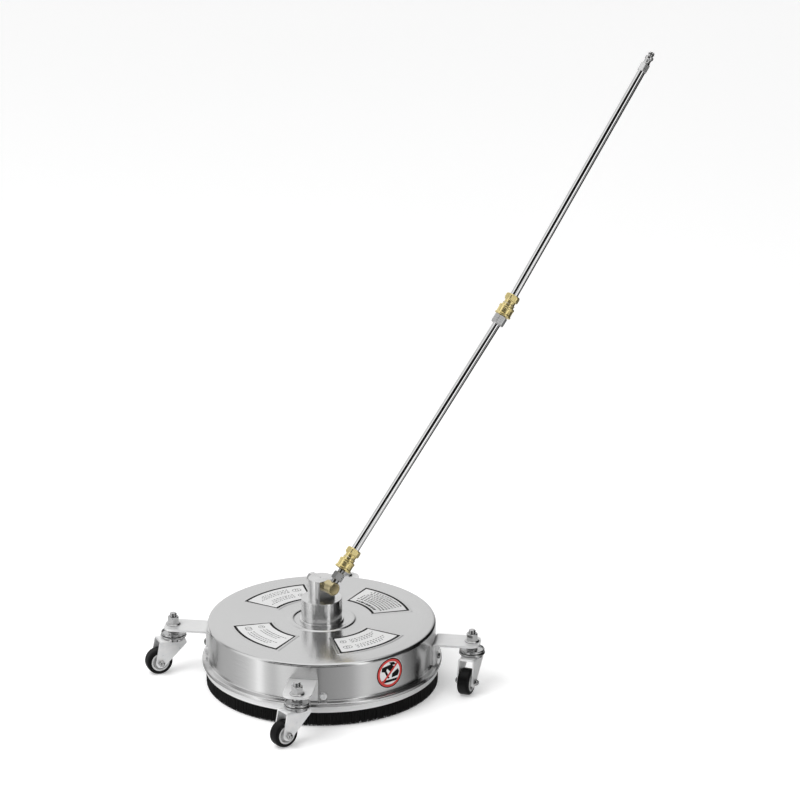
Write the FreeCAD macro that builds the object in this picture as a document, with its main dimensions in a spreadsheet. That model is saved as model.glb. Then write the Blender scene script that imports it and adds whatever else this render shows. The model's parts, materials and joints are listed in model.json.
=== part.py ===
"""Flat surface cleaner for a pressure washer: spun steel deck on four swivel casters, brush
skirt, rotary spray arm, swivel hub and a two-piece lance.  Millimetres, +Z up, z = 0 on the floor."""

import FreeCAD, Part
import Sketcher
import math
import os
from FreeCAD import Placement, Rotation, Vector

doc = FreeCAD.newDocument("SurfaceCleaner")
sheet = doc.addObject("Spreadsheet::Sheet", "Sizes")

SIZES = {
    # where the deck's axis stands, so that the origin is the middle of the whole footprint
    "deck_x": -99.8, "deck_y": -84.2,
    # deck housing
    "steel": 1.5, "deck_radius": 190.0, "deck_top": 109.0, "deck_round": 6.0,
    "wall_low": 45.0, "shoulder_drop": 1.2, "rim_radius": 200.0, "rim_low": 37.5, "hub_hole": 26.2,
    "bead_inner": 46.0, "bead_outer": 57.0, "bead_rise": 2.0, "bead_slope": 2.5,
    "bead_shift": 0.8, "pad_inner": 83.0, "pad_outer": 151.0, "pad_angle": 51.0, "pad_rise": 0.8,
    "pad_sink": 0.2,
    # brush band and bristles
    "band_radius": 195.4, "band_inner": 186.2, "band_low": 26.0, "band_high": 42.3, "band_wall": 1.2,
    "tab_width": 14.0, "tab_wall": 1.7, "tab_high": 60.0, "tab_set": 0.1, "skirt_fit": 0.1,
    "skirt_flare": 1.0,
    "bristle_outer": 191.8, "bristle_inner": 187.6, "bristle_low": 1.2, "bristle_root": 30.0,
    "bristle_top": 41.0,
    # caster arms
    "arm_width": 48.0, "arm_wall": 4.0, "arm_top": 84.0, "arm_reach": 266.0, "arm_corner": 16.0,
    "flange_low": 46.2, "seat_gap": 0.1, "stem_radius": 252.0, "arm_root": 10.0, "arm_lap": 4.0,
    # how far drills and cutting blanks start back from a face, and how long they are
    "drill_back": 8.0, "drill_long": 20.0, "cut_over": 1.0, "cut_back": 20.0, "cut_long": 40.0,
    # M6 bolts through the deck wall
    "bolt_r": 3.0, "bolt_flats": 10.0, "bolt_head": 4.2, "bolt_nut": 5.0, "washer_r": 6.0,
    "bolt_hole_r": 3.2, "bolt_end": 1.0, "head_ease": 0.8, "thread_fit": 0.02, "nut_fit": 0.15,
    "washer_thick": 1.0, "arm_bolt_z": 55.5, "band_bolt_z": 53.5, "band_bolt_turn": 9.8,
    # hub
    "ring_radius": 37.0, "ring_high": 112.0, "neck_radius": 26.0, "neck_low": 96.0,
    "hub_radius": 34.0, "hub_step": 148.0, "head_radius": 22.0, "head_top": 183.0, "hub_chamfer": 1.0,
    "bearing_r": 17.5, "bearing_bore_r": 7.5, "bearing_high": 11.0, "lower_bearing_z": 98.6,
    "upper_bearing_z": 124.0, "seat_top": 135.0, "seal_r": 12.0, "seal_high": 7.0, "duct_r": 4.0,
    "clamp_radius": 37.0, "clamp_low": 99.0, "spacer_wall": 3.0, "circlip_wide": 2.5,
    "circlip_thick": 1.5, "seal_set": 0.5, "seal_fit": 0.1, "flat_deep": 20.0, "flat_wide": 60.0,
    # horizontal swivel between hub and lance
    "cross_z": 173.7, "cross_turn": -45.0, "flat_at": 15.9, "cross_r": 6.5, "running_gap": 0.05,
    "barrel_r": 11.0, "barrel_from": 16.2, "barrel_to": 36.8, "barrel_bore": 8.0,
    "cap_flats": 17.0, "cap_from": 22.4, "cap_to": 31.0, "cap_skin": 3.6, "cap_ease": 1.5, "port_r": 6.5,
    "barrel_ease": 0.6, "barrel_round": 0.8, "blind_fit": 0.1, "pin_bore": 2.2, "pin_wall": 2.0,
    "pin_inlet_r": 1.6, "groove_wide": 6.0, "groove_deep": 1.8, "cross_half": 40.0,
    # lance
    "lance_at": 26.3, "lance_lean": 41.45, "upper_lean": 38.18, "joint_at": 548.2,
    "tube_r": 7.0, "tube_bore": 5.0, "plug_r": 5.6, "plug_bore": 3.0, "plug_groove": 1.0, "nose_r": 4.7,
    "tool_neck_r": 6.2, "tool_collar_r": 7.3,
    "inlet_from": 6.9, "inlet_flats": 17.0, "inlet_hex_from": 15.2, "inlet_hex_to": 28.6,
    "inlet_tip": 52.0, "lower_coupler_at": 35.7, "lower_tube_end": 529.5, "joint_flats": 20.0,
    "joint_hex_from": 520.0, "joint_hex_to": 536.0, "joint_tip": 552.0, "upper_coupler_at": -11.2,
    "upper_tube_end": 470.0, "tool_flats": 16.0, "tool_hex_from": 463.0, "tool_hex_to": 477.0,
    "tool_tip": 500.0, "sleeve_long": 17.3, "coupler_hex_at": 28.0, "coupler_long": 39.2,
    "sleeve_rim_r": 14.3, "sleeve_r": 13.1, "sleeve_bore": 10.6, "body_r": 10.5, "coupler_neck_r": 9.6,
    "coupler_flats": 22.5, "coupler_bore": 6.4, "sleeve_travel": 4.0, "sleeve_ease": 0.6,
    "sleeve_rim_long": 3.0, "sleeve_grip": 4.3,
    "socket_back": 30.0, "pipe_set": 1.5, "pipe_wall": 0.9, "hex_cone": 2.5, "body_set": 0.6,
    "socket_step": 2.0,
    # rotor under the deck
    "rotor_z": 52.0, "rotor_turn": 20.0, "rotor_r": 16.0, "spray_r": 5.0, "spray_bore": 3.2,
    "spray_reach": 166.0, "spray_root": 8.0, "holder_r": 8.0, "holder_low": 16.0, "holder_high": 8.0,
    "nozzle_r": 4.5, "nozzle_low": 28.0, "nozzle_long": 8.0, "jet_r": 1.0, "rotor_half": 9.0,
    "rotor_ease": 1.0, "shaft_bore": 3.0, "shaft_end": 0.5, "shaft_collar": 12.0, "shaft_land": 2.5,
    "collar_gap": 3.0, "acorn_flats": 20.0, "acorn_hex": 6.0, "acorn_r": 8.0, "acorn_at": 15.0,
    "acorn_tip": 19.0,
    # casters
    "stem_r": 6.0, "stem_top": 104.5, "race_r": 21.0, "race_low": 67.0, "race_high": 71.6,
    "race_dish": 69.0, "collar_r": 8.5, "crown_r": 22.0, "crown_high": 66.4, "crown_low": 58.0,
    "rivet_r": 8.5, "rivet_low": 54.5, "rivet_ease": 2.0, "rivet_gap": 0.3, "race_ease": 1.2,
    "race_lip": 0.8, "race_lip_wide": 1.8, "race_well": 3.0, "collar_ease": 1.0, "stem_ease": 2.0,
    "stem_point": 1.8, "cup_step": 4.0, "cup_flare": 1.5, "cup_low": 3.6, "cup_edge": 2.4, "cup_lip": 0.8,
    "kingpin_r": 5.0, "trail": 27.0, "axle_z": 22.5, "axle_r": 3.0, "axle_flats": 10.0,
    "fork_half": 14.0, "fork_wall": 2.5, "fork_end_r": 9.0, "bridge_wall": 4.0, "fork_bend": 3.5,
    "fork_lead": -19.0, "fork_back": 29.0, "fork_lead_z": 53.0, "fork_back_z": 59.0,
    "fork_lead_lean": 1.0, "fork_back_lean": 3.0, "leg_blank_low": 10.0, "leg_blank_long": 90.0,
    "axle_end": 4.0, "axle_head_ease": 0.9, "dome_flat": 3.6, "dome_foot": 4.4, "dome_mid": 6.0,
    "dome_shoulder": 7.2, "dome_high": 7.5, "dome_bore": 4.1, "dome_top_r": 3.0,
    # wheels, measured along the axle from their middle
    "wheel_r": 22.5, "wheel_half": 10.2, "wheel_mid": 20.0, "tread_edge": 4.5, "tread_side": 2.0,
    "tread_soft": 0.5, "tread_edge_in": 0.9, "tread_side_in": 2.8, "tread_soft_in": 5.2,
    "boss_r": 6.5, "web_inner_r": 7.5, "web_outer_r": 12.0, "rim_foot_r": 13.0, "web_deep": 4.0,
    "face_set": 0.8, "boss_set": 0.3,
    "rim_r": 16.0, "nut_flange_r": 12.4, "nut_flange_edge": 1.2, "nut_ease": 1.6, "nut_flange_high": 3.0,
    "nut_flats": 18.0, "nut_high": 14.6,
    # a hexagon's width across flats divided by these: past its corners, and its crown's circle
    "past_corners": 1.7, "crown_circle": 2.1, "dome_circle": 2.3, "nut_circle": 2.05, "cone_circle": 1.78,
}

for row, (alias, value) in enumerate(SIZES.items(), start=1):
    sheet.set(f"A{row}", alias)
    sheet.set(f"B{row}", str(value))
    sheet.setAlias(f"B{row}", alias)
doc.recompute()

PAD_TURNS = (45.0, 135.0, 225.0, 315.0)
# each caster: the azimuth of its arm, the azimuth its wheel trails to
CASTERS = {"right": (0.0, 258.0), "front": (-90.0, 225.0), "left": (180.0, 210.0), "rear": (90.0, 222.0)}
nodes = []
MOST_NODES = 60


def size(alias):
    """The sheet's value of one driving dimension."""
    return SIZES[alias]


def bind(thing, prop, expression):
    """Bind a property to the sheet; words in the expression that are aliases get the sheet's name."""
    thing.setExpression(prop, qualified(expression))


def qualified(expression):
    words = str(expression)
    for mark in "+-*/()":
        words = words.replace(mark, f" {mark} ")
    return " ".join(f"Sizes.{word}" if word in SIZES else word for word in words.split())


def value_of(expression):
    """The number that an expression of aliases comes to."""
    return float(worked_out(qualified(expression).replace("Sizes.", "").split()))


def worked_out(terms):
    """Work out a list of words with + - * / and brackets, from left to right by precedence."""
    def atom():
        word = terms.pop(0)
        if word == "(":
            result = total()
            terms.pop(0)
            return result
        if word == "-":
            return -atom()
        return SIZES[word] if word in SIZES else float(word)

    def product():
        result = atom()
        while terms and terms[0] in "*/":
            result = result * atom() if terms.pop(0) == "*" else result / atom()
        return result

    def total():
        result = product()
        while terms and terms[0] in "+-":
            result = result + product() if terms.pop(0) == "+" else result - product()
        return result

    return total()


# ---------------------------------------------------------------- places

def deck_place(turn=0.0, radius=0.0, height=0.0):
    """A frame on the deck's axis, turned about it, moved out along its own X and up."""
    spin = Rotation(Vector(0, 0, 1), turn)
    base = Vector(size("deck_x"), size("deck_y"), 0)
    return Placement(base + spin.multVec(Vector(radius, 0, height)), spin)


def outward_place(turn, radius, height):
    """A frame at a point of the deck wall whose Z points outward."""
    return deck_place(turn, radius, height) * Placement(Vector(), Rotation(Vector(0, 1, 0), 90))


def lance_place(lean, start):
    """A frame whose Z runs up the lance, leaning that many degrees in the lance's plane."""
    tilt = Rotation(Vector(1, 0, 0), -lean)
    frame = Placement(Vector(), Rotation(Vector(0, 0, 1), size("cross_turn")))
    return Placement(start, frame.Rotation * tilt)


CROSS = outward_place(size("cross_turn"), 0.0, size("cross_z"))
LANCE_FOOT = CROSS.multVec(Vector(0, 0, size("lance_at")))
LOWER_LANCE = lance_place(size("lance_lean"), LANCE_FOOT)
UPPER_LANCE = lance_place(size("upper_lean"), LOWER_LANCE.multVec(Vector(0, 0, size("joint_at"))))


# ---------------------------------------------------------------- ways of making a solid

def origin_plane(body, role):
    return next(plane for plane in body.Origin.OriginFeatures if plane.Role == role)


def outline_sketch(body, outline, role):
    """A closed outline of straight lines whose corners are bound to the sheet."""
    sketch = body.newObject("Sketcher::SketchObject", body.Name + "_outline")
    sketch.AttachmentSupport = [(origin_plane(body, role), "")]
    sketch.MapMode = "FlatFace"
    corners = [Vector(value_of(x), value_of(y), 0) for x, y in outline]
    count = len(corners)
    for index, corner in enumerate(corners):
        sketch.addGeometry(Part.LineSegment(corner, corners[(index + 1) % count]), False)
    for index, (x, y) in enumerate(outline):
        sketch.addConstraint(Sketcher.Constraint("Coincident", (index - 1) % count, 2, index, 1))
        pin_corner(sketch, index, "DistanceX", -2, x, f"across{index}")
        pin_corner(sketch, index, "DistanceY", -1, y, f"up{index}")
    return sketch


def pin_corner(sketch, index, kind, axis, expression, name):
    """Hold one coordinate of a corner on an axis, or at the sheet's distance from it."""
    if value_of(expression) == 0.0:
        sketch.addConstraint(Sketcher.Constraint("PointOnObject", index, 1, axis))
        return
    number = sketch.addConstraint(Sketcher.Constraint(kind, -1, 1, index, 1, value_of(expression)))
    sketch.renameConstraint(number, name)
    bind(sketch, f"Constraints.{name}", expression)


def turned(name, outline, place=None):
    """A solid of revolution about its own Z from (radius, height) corners."""
    body = doc.addObject("PartDesign::Body", name)
    sketch = outline_sketch(body, outline, "XZ_Plane")
    turn = body.newObject("PartDesign::Revolution", name + "_turn")
    turn.Profile = sketch
    turn.ReferenceAxis = (sketch, ["V_Axis"])
    turn.Angle = 360
    body.Tip = turn
    body.Placement = place or Placement()
    return body


def plate(name, outline, thickness, place=None, role="XZ_Plane"):
    """A flat plate, its outline in one of its own planes, half its thickness each side."""
    body = doc.addObject("PartDesign::Body", name)
    sketch = outline_sketch(body, outline, role)
    pad = body.newObject("PartDesign::Pad", name + "_pad")
    pad.Profile = sketch
    pad.Midplane = True
    bind(pad, "Length", thickness)
    body.Tip = pad
    body.Placement = place or Placement()
    return body


def rounded(body, radius, chosen):
    """Round the edges of a body for which chosen(edge) is true."""
    doc.recompute()
    base = body.Tip
    names = [f"Edge{index}" for index, edge in enumerate(base.Shape.Edges, start=1) if chosen(edge)]
    fillet = body.newObject("PartDesign::Fillet", f"{body.Name}_round{len(body.Group)}")
    fillet.Base = (base, names)
    bind(fillet, "Radius", radius)
    body.Tip = fillet
    return body


def circle_at(radius, height):
    """A test for the circular edge of that radius at that height."""
    def chosen(edge):
        if not hasattr(edge.Curve, "Radius"):
            return False
        return abs(edge.Curve.Radius - radius) < 0.01 and abs(edge.Curve.Center.z - height) < 0.01
    return chosen


def straight_at(across, height):
    """A test for straight edges along X that far to either side, at that height."""
    def chosen(edge):
        ends = [vertex.Point for vertex in edge.Vertexes]
        return all(abs(abs(end.y) - across) < 0.01 and abs(end.z - height) < 0.01 for end in ends)
    return chosen


def cylinder(name, radius, height, place=None, sector=360.0):
    thing = doc.addObject("Part::Cylinder", name)
    bind(thing, "Radius", radius)
    bind(thing, "Height", height)
    thing.Angle = sector
    thing.Placement = place or Placement()
    return thing


def hexagon(name, flats, height, place=None):
    """A hexagonal prism by its width across flats."""
    thing = doc.addObject("Part::Prism", name)
    thing.Polygon = 6
    bind(thing, "Circumradius", f"{flats} / 1.7320508")
    bind(thing, "Height", height)
    thing.Placement = place or Placement()
    return thing


def box(name, length, width, height, place=None):
    """A box with its near end on the YZ plane, centred across Y, its foot on the XY plane."""
    thing = doc.addObject("Part::Box", name)
    bind(thing, "Length", length)
    bind(thing, "Width", width)
    bind(thing, "Height", height)
    shift = Placement(Vector(0, -value_of(width) / 2, 0), Rotation())
    thing.Placement = (place or Placement()) * shift
    return thing


def fused(name, *things):
    result = doc.addObject("Part::MultiFuse", name)
    result.Shapes = list(things)
    return result


def cut(name, base, *tools):
    result = doc.addObject("Part::Cut", name)
    result.Base = base
    result.Tool = tools[0] if len(tools) == 1 else fused(name + "_tools", *tools)
    return result


def common(name, *things):
    result = doc.addObject("Part::MultiCommon", name)
    result.Shapes = list(things)
    return result


def grouped(name, things):
    """Separate identical solids that share one node."""
    result = doc.addObject("Part::Compound", name)
    result.Links = list(things)
    return result


def node(name, thing):
    """Keep a finished sub-part under the name of its node."""
    thing.Label = name
    nodes.append(thing)
    return thing


def up(height, place=None):
    """A frame lifted along its own Z."""
    return (place or Placement()) * Placement(Vector(0, 0, height), Rotation())


# ---------------------------------------------------------------- deck housing

def deck_housing():
    rim_top = "wall_low - shoulder_drop"
    shell = turned("deck_shell", [
        ("hub_hole", "deck_top - steel"),
        ("hub_hole", "deck_top"),
        ("bead_inner", "deck_top"),
        ("bead_inner + bead_slope", "deck_top + bead_rise"),
        ("bead_outer - bead_slope", "deck_top + bead_rise"),
        ("bead_outer", "deck_top"),
        ("deck_radius", "deck_top"),
        ("deck_radius", "wall_low"),
        ("rim_radius", rim_top),
        ("rim_radius", "rim_low"),
        ("rim_radius - steel", "rim_low"),
        ("rim_radius - steel", f"{rim_top} - steel"),
        ("deck_radius - steel", "wall_low - steel"),
        ("deck_radius - steel", "deck_top - steel"),
        ("bead_outer - bead_shift", "deck_top - steel"),
        ("bead_outer - bead_slope - bead_shift", "deck_top + bead_rise - steel"),
        ("bead_inner + bead_slope + bead_shift", "deck_top + bead_rise - steel"),
        ("bead_inner + bead_shift", "deck_top - steel"),
    ], deck_place())
    top, thick = size("deck_top"), size("steel")
    rounded(shell, "deck_round", circle_at(size("deck_radius"), top))
    rounded(shell, "deck_round - steel", circle_at(size("deck_radius") - thick, top - thick))
    rounded(shell, "steel", circle_at(size("rim_radius"), size("wall_low") - size("shoulder_drop")))
    pads = []
    for turn in PAD_TURNS:
        place = deck_place(turn - size("pad_angle") / 2, 0.0, top - size("pad_sink"))
        disc = cylinder(f"pad_disc_{turn:.0f}", "pad_outer", "pad_rise + pad_sink", place, size("pad_angle"))
        hole = cylinder(f"pad_hole_{turn:.0f}", "pad_inner", "pad_rise + cut_over", place)
        pads.append(cut(f"pad_{turn:.0f}", disc, hole))
    holes = []
    for side, (turn, _) in CASTERS.items():
        inside = size("deck_radius") - size("drill_back")
        holes.append(cylinder(f"deck_hole_a_{side}", "bolt_hole_r", "drill_long",
                              outward_place(turn, inside, size("arm_bolt_z"))))
        holes.append(cylinder(f"deck_hole_b_{side}", "bolt_hole_r", "drill_long",
                              outward_place(turn + size("band_bolt_turn"), inside, size("band_bolt_z"))))
    pressed = fused("deck_pressed", shell, *pads)
    node("deck_housing", cut("deck_drilled", pressed, *holes))


# ---------------------------------------------------------------- brush band, bristles, their bolts

def brush_skirt():
    channel = turned("band_channel", [
        ("band_radius", "band_low"),
        ("band_radius", "band_high"),
        ("band_inner", "band_high"),
        ("band_inner", "band_low"),
        ("band_inner + band_wall", "band_low"),
        ("band_inner + band_wall", "band_high - band_wall"),
        ("band_radius - band_wall", "band_high - band_wall"),
        ("band_radius - band_wall", "band_low"),
    ], deck_place())
    tabs, holes = [], []
    for side, (turn, _) in CASTERS.items():
        at = turn + size("band_bolt_turn")
        foot = size("band_high") - size("band_wall") / 2
        tabs.append(box(f"band_tab_{side}", "tab_wall", "tab_width", "tab_high - band_high + band_wall / 2",
                        deck_place(at, size("band_inner") + size("tab_set"), foot)))
        holes.append(cylinder(f"band_hole_{side}", "bolt_hole_r", "drill_back",
                              outward_place(at, size("band_inner") - size("cut_over"), size("band_bolt_z"))))
    channel_with_tabs = fused("band_with_tabs", channel, *tabs)
    node("brush_band", cut("band_drilled", channel_with_tabs, *holes))
    node("bristle_skirt", turned("bristle_ring", [
        ("bristle_inner", "bristle_low"),
        ("bristle_outer", "bristle_low"),
        ("bristle_outer", "band_low + skirt_flare"),
        ("band_radius - band_wall - skirt_fit", "bristle_root"),
        ("band_radius - band_wall - skirt_fit", "bristle_top"),
        ("bristle_inner", "bristle_top"),
    ], deck_place()))


def wall_bolt(name, place, head_at, nut_at):
    """An M6 bolt with its washer outside and its nut inside; place's Z points out of the deck."""
    washer_top = head_at + size("washer_thick")
    washer = cut(name + "_washer",
                 cylinder(name + "_washer_disc", "washer_r", "washer_thick", up(head_at, place)),
                 cylinder(name + "_washer_hole", "bolt_hole_r", "washer_thick + 2 * cut_over",
                          up(head_at - size("cut_over"), place)))
    tip = nut_at - size("bolt_nut") - size("bolt_end")
    shank = cylinder(name + "_shank", "bolt_r", str(washer_top - tip), up(tip, place))
    head = common(name + "_head",
                  hexagon(name + "_head_hex", "bolt_flats", "bolt_head", up(washer_top, place)),
                  turned(name + "_head_crown", [
                      ("0", "0"), ("bolt_flats / past_corners", "0"),
                      ("bolt_flats / past_corners", "bolt_head - head_ease"),
                      ("bolt_flats / crown_circle", "bolt_head"), ("0", "bolt_head")], up(washer_top, place)))
    nut = cut(name + "_nut",
              hexagon(name + "_nut_hex", "bolt_flats", "bolt_nut", up(nut_at - size("bolt_nut"), place)),
              cylinder(name + "_nut_hole", "bolt_r + thread_fit", "bolt_nut + 2 * cut_over",
                       up(nut_at - size("bolt_nut") - size("cut_over"), place)))
    return [fused(name + "_bolt", shank, head), washer, nut]


def wall_bolts():
    arm_bolts, band_bolts = [], []
    wall = size("deck_radius")
    for side, (turn, _) in CASTERS.items():
        place = outward_place(turn, 0.0, size("arm_bolt_z"))
        outer = wall + size("seat_gap") + size("arm_wall") + size("thread_fit")
        arm_bolts += wall_bolt(f"arm_bolt_{side}", place, outer, wall - size("steel") - size("nut_fit"))
        place = outward_place(turn + size("band_bolt_turn"), 0.0, size("band_bolt_z"))
        band_bolts += wall_bolt(f"band_bolt_{side}", place, wall + size("thread_fit"),
                                size("band_inner") - size("running_gap"))
    node("arm_bolts", grouped("arm_bolt_set", arm_bolts))
    node("band_bolts", grouped("band_bolt_set", band_bolts))


# ---------------------------------------------------------------- caster arms

def caster_arms():
    for side, (turn, _) in CASTERS.items():
        inner = size("deck_radius") - size("arm_root")
        slab = box(f"arm_slab_{side}", "arm_reach - arm_corner - deck_radius + arm_root", "arm_width",
                   "arm_wall", deck_place(turn, inner, size("arm_top") - size("arm_wall")))
        nose = box(f"arm_nose_{side}", "arm_corner + arm_lap", "arm_width - 2 * arm_corner", "arm_wall",
                   deck_place(turn, size("arm_reach") - size("arm_corner") - size("arm_lap"),
                              size("arm_top") - size("arm_wall")))
        corners = []
        for hand in (-1, 1):
            middle = deck_place(turn, size("arm_reach") - size("arm_corner"),
                                size("arm_top") - size("arm_wall"))
            shift = Vector(0, hand * (size("arm_width") / 2 - size("arm_corner")), 0)
            corners.append(cylinder(f"arm_corner_{side}_{hand + 1}", "arm_corner", "arm_wall",
                                    middle * Placement(shift, Rotation())))
        leg_ring = cylinder(f"arm_leg_ring_{side}", "deck_radius + seat_gap + arm_wall",
                            "arm_top - flange_low", deck_place(0, 0, size("flange_low")))
        leg_slab = box(f"arm_leg_slab_{side}", "deck_radius + cut_back", "arm_width", "arm_top - flange_low",
                       deck_place(turn, 0, size("flange_low")))
        leg = common(f"arm_leg_{side}", leg_ring, leg_slab)
        whole = fused(f"arm_whole_{side}", slab, nose, *corners, leg)
        deck_space = cylinder(f"arm_deck_space_{side}", "deck_radius + seat_gap", "2 * cut_long",
                              deck_place(0, 0, size("arm_top") - size("cut_long")))
        stem_hole = cylinder(f"arm_stem_hole_{side}", "stem_r + running_gap", "drill_long",
                             deck_place(turn, size("stem_radius"), size("arm_top") - size("drill_back")))
        bolt_hole = cylinder(f"arm_bolt_hole_{side}", "bolt_hole_r", "drill_long",
                             outward_place(turn, size("deck_radius") - size("drill_back"),
                                           size("arm_bolt_z")))
        node(f"caster_arm_{side}", cut(f"arm_done_{side}", whole, deck_space, stem_hole, bolt_hole))


# ---------------------------------------------------------------- casters

def caster_stem(side, place):
    """Threaded stem, dished upper race and the kingpin with its rivet head, all one turning."""
    node(f"caster_stem_{side}", turned(f"stem_{side}", [
        ("0", "rivet_low"),
        ("rivet_r - rivet_ease", "rivet_low"),
        ("rivet_r", "rivet_low + 0.75 * rivet_ease"),
        ("rivet_r", "crown_low - rivet_gap"),
        ("kingpin_r", "crown_low - rivet_gap"),
        ("kingpin_r", "race_low"),
        ("race_r - race_ease", "race_low"),
        ("race_r", "race_low + race_ease"),
        ("race_r", "race_high - race_lip"),
        ("race_r - race_lip", "race_high"),
        ("race_r - race_lip_wide", "race_high"),
        ("race_r - race_well", "race_dish"),
        ("collar_r + collar_ease", "race_dish"),
        ("collar_r", "race_dish + collar_ease"),
        ("collar_r", "arm_top - arm_wall"),
        ("stem_r", "arm_top - arm_wall"),
        ("stem_r", "stem_top - stem_ease"),
        ("stem_r - stem_point", "stem_top"),
        ("0", "stem_top"),
    ], place))


def caster_fork(side, place):
    """Crown cup on a bent steel channel whose two legs taper down to the axle."""
    crown = turned(f"crown_{side}", [
        ("kingpin_r + running_gap", "crown_low"),
        ("crown_r - cup_step", "crown_low"),
        ("crown_r - cup_step", "crown_high - cup_step"),
        ("crown_r - cup_flare", "crown_high - cup_low"),
        ("crown_r", "crown_high - cup_edge"),
        ("crown_r", "crown_high - cup_lip"),
        ("crown_r - cup_lip", "crown_high"),
        ("kingpin_r + running_gap", "crown_high"),
    ], place)
    bridge_top, inner = "crown_low + bridge_wall", "fork_half - fork_wall"
    channel = plate(f"channel_{side}", [
        ("-fork_half", "leg_blank_low"), ("-fork_half", bridge_top), ("fork_half", bridge_top),
        ("fork_half", "leg_blank_low"), (inner, "leg_blank_low"), (inner, "crown_low"),
        (f"-( {inner} )", "crown_low"), (f"-( {inner} )", "leg_blank_low")],
        "leg_blank_long", place, "YZ_Plane")
    top = size("crown_low") + size("bridge_wall")
    rounded(channel, "fork_bend", straight_at(size("fork_half"), top))
    axle = Vector(size("trail"), 0, size("axle_z"))
    lead = Vector(size("fork_lead"), 0, size("fork_lead_z"))
    back = Vector(size("fork_back"), 0, size("fork_back_z"))
    lead_touch = touch_point(lead, axle, size("fork_end_r"), -1)
    back_touch = touch_point(back, axle, size("fork_end_r"), 1)
    profile = plate(f"fork_profile_{side}", [
        ("fork_lead", "fork_lead_z"), ("fork_lead + fork_lead_lean", f"{bridge_top} + cut_over"),
        ("fork_back - fork_back_lean", f"{bridge_top} + cut_over"), ("fork_back", "fork_back_z"),
        (back_touch.x, back_touch.z), ("trail", "axle_z"), (lead_touch.x, lead_touch.z)],
        "cut_long", place)
    across = Placement(axle + Vector(0, size("cut_long") / 2, 0), Rotation(Vector(1, 0, 0), 90))
    end = cylinder(f"fork_end_{side}", "fork_end_r", "cut_long", place * across)
    legs = common(f"fork_legs_{side}", channel, fused(f"fork_side_{side}", profile, end))
    whole = fused(f"fork_whole_{side}", crown, legs)
    axle_hole = cylinder(f"fork_axle_hole_{side}", "axle_r + running_gap", "cut_long",
                         place * across)
    pin_hole = cylinder(f"fork_pin_hole_{side}", "kingpin_r + running_gap", "cut_long",
                        up(size("crown_low") - size("cut_back"), place))
    node(f"caster_fork_{side}", cut(f"fork_{side}", whole, axle_hole, pin_hole))


def touch_point(corner, centre, radius, hand):
    """Where a line from a corner touches a circle, in the XZ plane, on the chosen side."""
    away = corner - centre
    reach = math.hypot(away.x, away.z)
    bearing = math.atan2(away.z, away.x)
    half = math.acos(radius / reach)
    angle = bearing - hand * half
    return Vector(centre.x + radius * math.cos(angle), 0, centre.z + radius * math.sin(angle))


def wheel_frame(place):
    """A frame on the axle whose Z runs along it."""
    return place * Placement(Vector(size("trail"), 0, size("axle_z")), Rotation(Vector(1, 0, 0), -90))


def caster_axle(side, place):
    """Bolt through both legs and the wheel, with a domed nut."""
    frame = wheel_frame(place)
    half = size("fork_half") + size("thread_fit")
    shank = cylinder(f"axle_shank_{side}", "axle_r", str(2 * half + size("axle_end")), up(-half, frame))
    head_place = up(-half - size("bolt_head"), frame)
    head = common(f"axle_head_{side}",
                  hexagon(f"axle_head_hex_{side}", "axle_flats", "bolt_head", head_place),
                  turned(f"axle_head_crown_{side}", [
                      ("0", "0"), ("axle_flats / crown_circle", "0"),
                      ("axle_flats / past_corners", "axle_head_ease"),
                      ("axle_flats / past_corners", "bolt_head"), ("0", "bolt_head")], head_place))
    nut = common(f"axle_nut_{side}",
                 hexagon(f"axle_nut_hex_{side}", "axle_flats", "dome_high", up(half, frame)),
                 turned(f"axle_nut_dome_{side}", [
                     ("axle_r + thread_fit", "0"), ("axle_flats / past_corners", "0"),
                     ("axle_flats / past_corners", "dome_flat"), ("axle_flats / crown_circle", "dome_foot"),
                     ("axle_flats / dome_circle", "dome_mid"), ("dome_top_r", "dome_shoulder"),
                     ("0", "dome_high"), ("0", "dome_bore"), ("axle_r + thread_fit", "dome_bore")],
                     up(half, frame)))
    node(f"axle_bolt_{side}", grouped(f"axle_{side}", [fused(f"axle_screw_{side}", shank, head), nut]))


def caster_wheel(side, place):
    frame = wheel_frame(place)
    low = up(-size("wheel_mid"), frame)
    near, far = "wheel_mid - wheel_half", "wheel_mid + wheel_half"
    node(f"tyre_{side}", turned(f"tread_{side}", [
        ("rim_r", near), ("wheel_r - tread_edge", near),
        ("wheel_r - tread_side", f"{near} + tread_edge_in"),
        ("wheel_r - tread_soft", f"{near} + tread_side_in"),
        ("wheel_r", f"{near} + tread_soft_in"), ("wheel_r", f"{far} - tread_soft_in"),
        ("wheel_r - tread_soft", f"{far} - tread_side_in"),
        ("wheel_r - tread_side", f"{far} - tread_edge_in"),
        ("wheel_r - tread_edge", far), ("rim_r", far)], low))
    near_face, far_face = f"{near} + face_set", f"{far} - face_set"
    boss = "( fork_half - fork_wall - boss_set )"
    node(f"wheel_hub_{side}", turned(f"wheel_centre_{side}", [
        ("axle_r + running_gap", f"wheel_mid - {boss}"), ("boss_r", f"wheel_mid - {boss}"),
        ("web_inner_r", f"{near_face} + web_deep"), ("web_outer_r", f"{near_face} + web_deep"),
        ("rim_foot_r", near_face), ("rim_r", near_face), ("rim_r", far_face), ("rim_foot_r", far_face),
        ("web_outer_r", f"{far_face} - web_deep"), ("web_inner_r", f"{far_face} - web_deep"),
        ("boss_r", f"wheel_mid + {boss}"), ("axle_r + running_gap", f"wheel_mid + {boss}")], low))


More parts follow.
